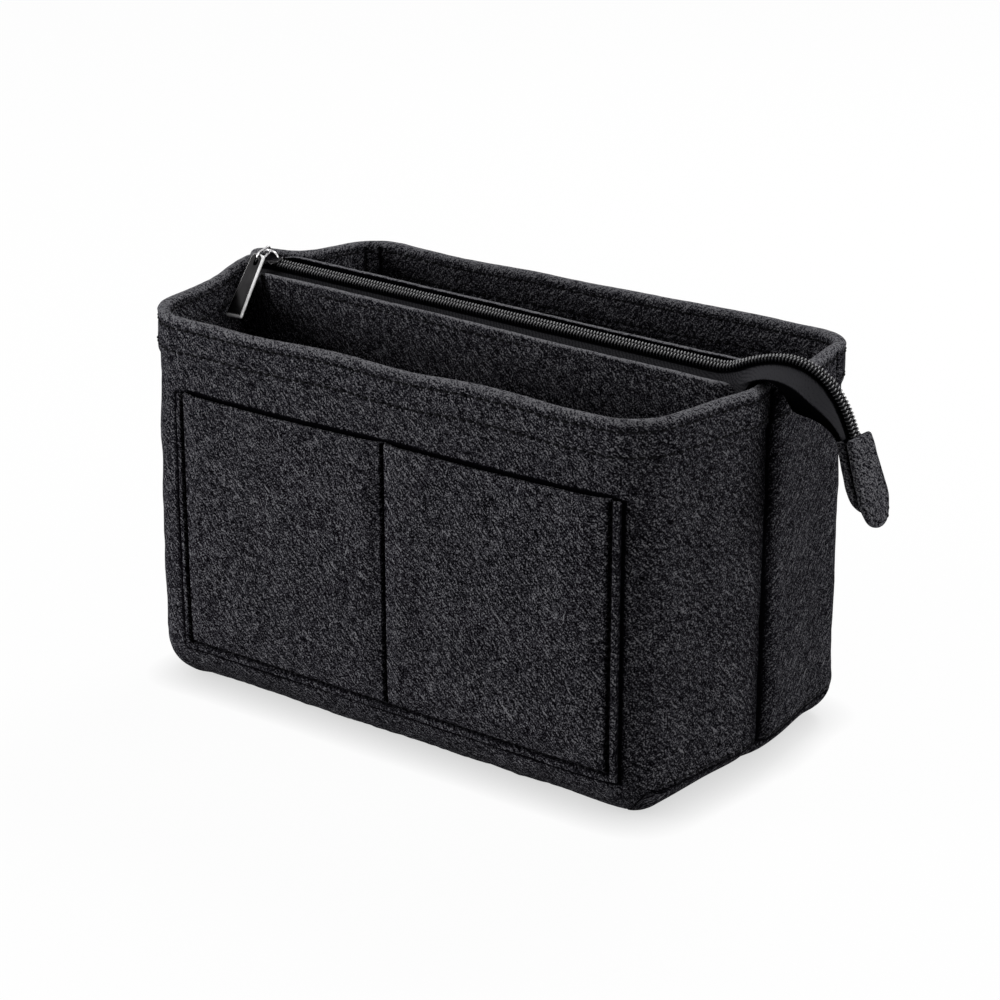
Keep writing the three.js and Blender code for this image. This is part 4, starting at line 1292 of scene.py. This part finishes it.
def pocketStitches(run, height, upright):
    # Stitches on the pocket patch, level or upright
    lift, lead = pocket["stitchLift"], stitch["lead"]
    at = lambda r, h, off: wallPoint(-1, r, -pocketSkin(r, h)[1] - off, h)
    middle = at(run, height, lift)
    ahead = at(run, height + lead, lift) if upright else at(run + lead, height, lift)
    return stitchCopies(middle, ahead - middle, at(run, height, 1.0) - middle)


def pocketEdgeStitches():
    # Level row along the foot, then one up each side
    level = evenRun(pocket["shift"] - seamLine, pocket["shift"] + seamLine)
    up = evenRun(seamLow + 2, pocketHigh - pocket["flangeStep"] - 2)
    rows = [pocketStitches(level, seamLow + 0 * level, False)]
    for side in (-1, 1):
        rows.append(pocketStitches(pocket["shift"] + side * seamLine + 0 * up, up, True))
    return np.concatenate(rows)


sew("pocket_edge", pocketEdgeStitches(), "pocket_edge_thread")
middleRow = evenRun(seamLow + 3, pocketHigh - 2)
sew("pocket_middle", pocketStitches(pocket["shift"] + 0 * middleRow, middleRow, True), "pocket_middle_thread")


def endStitches(side):
    # Cross seam row above the base's turned-up end, from corner to corner
    run = side * evenRun(frontRun + cornerRun * 0.8, quarterRun - 1.5)
    height = endSeamSkin + 3.0 + 0 * run
    return np.concatenate([wallStitches(face, run, height, (1, outerSkin)) for face in (-1, 1)])


def seamStitches(side):
    # Row down the valley of the end seam
    height = evenRun(endSeamSkin + 5, skinHeight - body["hem"] - 4)
    at = lambda inward, h: wallPoint(-1, side * (quarterRun - 0.9) + 0 * h, inward, h)
    middle = at(0.35, height)
    return stitchCopies(middle, at(0.35, height + 0.5) - middle, at(-0.65, height) - middle, 0.8)


def levelStitches(x, y, z, rise, out):
    # Row along the pouch at the points x, y, z: it rises by rise per length and faces front or rear
    middle = np.stack([x, y + 0 * x, z + 0 * x], 1)
    return stitchCopies(middle, np.array([[1, 0, rise]]) + 0 * middle, np.array([[0, out, 0]]) + 0 * middle)


for name, side in (("left", -1), ("right", 1)):
    sew(f"base_{name}", endStitches(side), f"base_thread_{name}")
    sew(f"end_{name}", seamStitches(side), f"end_seam_thread_{name}")
x = evenRun(-pouchEnd + pouch["taper"], pouchEnd - pouch["taper"])
for name, side in halves:
    y = side * (pouchInner(x) + felt - 0.40)
    zipRow = levelStitches(x, y, pouchEdge(side, x) - pouch["rowDrop"], zipSlope, side)
    sew(f"zip_{name}", zipRow, f"zip_thread_{name}")
x = evenRun(-pouchEnd + 3, pouchEnd - 3)
footRow = levelStitches(x, -gap / 2 - felt - 0.1, zipHeight(0) - pouch["depth"] + 4, 0, -1)
sew("pouch_foot", footRow, "pouch_foot_thread")


def tabStitches():
    # Row just inside the outer leaf's edge, at even steps along its outline
    inset = 2.0
    down = np.linspace(inset, tab["length"] - inset, 120)
    wide = np.maximum(tabHalfWidth(down, tab["length"]) - inset, 0)
    line = np.concatenate([np.stack([wide, down], 1), np.stack([-wide, down], 1)[::-1]])
    travel = travelled(line)
    at = np.arange(1.2, travel[-1] - 1, stitch["pitch"] * 0.8)
    flat = pointsAt(at, line, travel)
    ahead = pointsAt(at + stitch["lead"], line, travel) - flat
    out = tab["split"] / 2 + tab["felt"] - tab["curl"] * (flat[:, 1:] / tab["length"]) ** 2
    aside = np.array([0, 1, 0])
    middle = tabRoot - tabUp * flat[:, 1:] + aside * (flat[:, :1] + tab["aside"]) + tabOut * out
    forward = aside * ahead[:, :1] - tabUp * ahead[:, 1:]
    return stitchCopies(middle - tabOut * 0.15, forward, np.broadcast_to(tabOut, middle.shape), 0.55)


sew("tab", tabStitches(), "tab_thread", "tail")
print("stitches made")


# Studio: pale floor, soft lamps and the camera of the photograph

studio = dict(
    floor=6.0, floorColor=(0.32, 0.32, 0.32, 1), glow=1.05, shadow=0.08, contact=0.36, contactReach=0.016,
    worldLight=0.10, worldGloss=0.9,
)


def lightRay(flow, kind):
    return flow.node("ShaderNodeLightPath", {}, {}, f"Is {kind} Ray")


def makeFloor():
    # The camera and metal see a white floor that keeps part of the object's shadow, most where they touch
    look = bpy.data.materials.new("paleFloor")
    look.use_nodes = True
    tree = look.node_tree
    shader = tree.nodes["Principled BSDF"]
    shader.inputs["Base Color"].default_value = studio["floorColor"]
    shader.inputs["Roughness"].default_value = 0.9
    flow = Flow(tree, None)
    ray, gloss, through = (lightRay(flow, kind) for kind in ("Camera", "Glossy", "Transmission"))
    bare = flow.node("ShaderNodeAmbientOcclusion", {"samples": 8}, {"Distance": studio["contactReach"]}, "AO")
    shadow = (1 - bare) * studio["contact"] + studio["shadow"]
    seen = ray.larger(gloss).larger(through) * (1 - shadow)
    glow = flow.node("ShaderNodeEmission", {}, {"Color": (1, 1, 1, 1), "Strength": studio["glow"]})
    mixed = flow.node("ShaderNodeMixShader", {}, {0: seen, 1: Flow(tree, shader.outputs[0]), 2: glow})
    tree.links.new(mixed.socket, tree.nodes["Material Output"].inputs["Surface"])
    half = studio["floor"] / 2 / mm
    corners = np.array([[-half, -half, 0], [half, -half, 0], [half, half, 0], [-half, half, 0]], float)
    floor = addMesh("floor", corners, np.array([[0, 1, 2, 3]]), np.zeros((1, 4, 2)))
    floor.data.materials.append(look)


def makeWorld():
    # White to the camera, nearly white to metal, dim to the felt
    world = bpy.data.worlds.new("studio")
    bpy.context.scene.world = world
    world.use_nodes = True
    tree = world.node_tree
    flow = Flow(tree, None)
    back = tree.nodes["Background"]
    back.inputs["Color"].default_value = (1, 1, 1, 1)
    gloss = lightRay(flow, "Glossy") * studio["worldGloss"]
    strength = lightRay(flow, "Camera").larger(gloss).larger(studio["worldLight"])
    tree.links.new(strength.socket, back.inputs["Strength"])


def hang(name, data, at, towards):
    # Lamp or camera at a place, looking along a direction
    holder = bpy.data.objects.new(name, data)
    holder.location = at
    holder.rotation_euler = Vector(towards).to_track_quat("-Z", "Y").to_euler()
    bpy.context.scene.collection.objects.link(holder)
    return holder


# Place, point aimed at, diameter and watts of each lamp
lamps = {
    "key": ((-1.32, -1.32, 0.42), (0, 0, 0.08), 0.9, 36),
    "side": ((1.75, 0.20, 0.60), (0, 0, 0.08), 0.9, 15),
    "back": ((-0.10, 1.30, 1.60), (0, 0, 0.10), 0.7, 30),
}


def makeLamps():
    for name, (at, aim, size, watts) in lamps.items():
        lamp = bpy.data.lights.new(name, "AREA")
        lamp.shape = "DISK"
        lamp.size = size
        lamp.energy = watts
        hang(name, lamp, at, Vector(aim) - Vector(at))


camera = dict(eye=(614.5, -797.4, 445.9), forward=(-0.5723, 0.7475, -0.3371), lens=94.28, sensor=36.0)


def makeCamera():
    lens = bpy.data.cameras.new("camera")
    lens.lens = camera["lens"]
    lens.sensor_width = camera["sensor"]
    bpy.context.scene.camera = hang("camera", lens, Vector(camera["eye"]) * mm, camera["forward"])


makeFloor()
makeWorld()
makeLamps()
makeCamera()
bpy.context.scene.view_settings.view_transform = "Standard"
print("studio made")
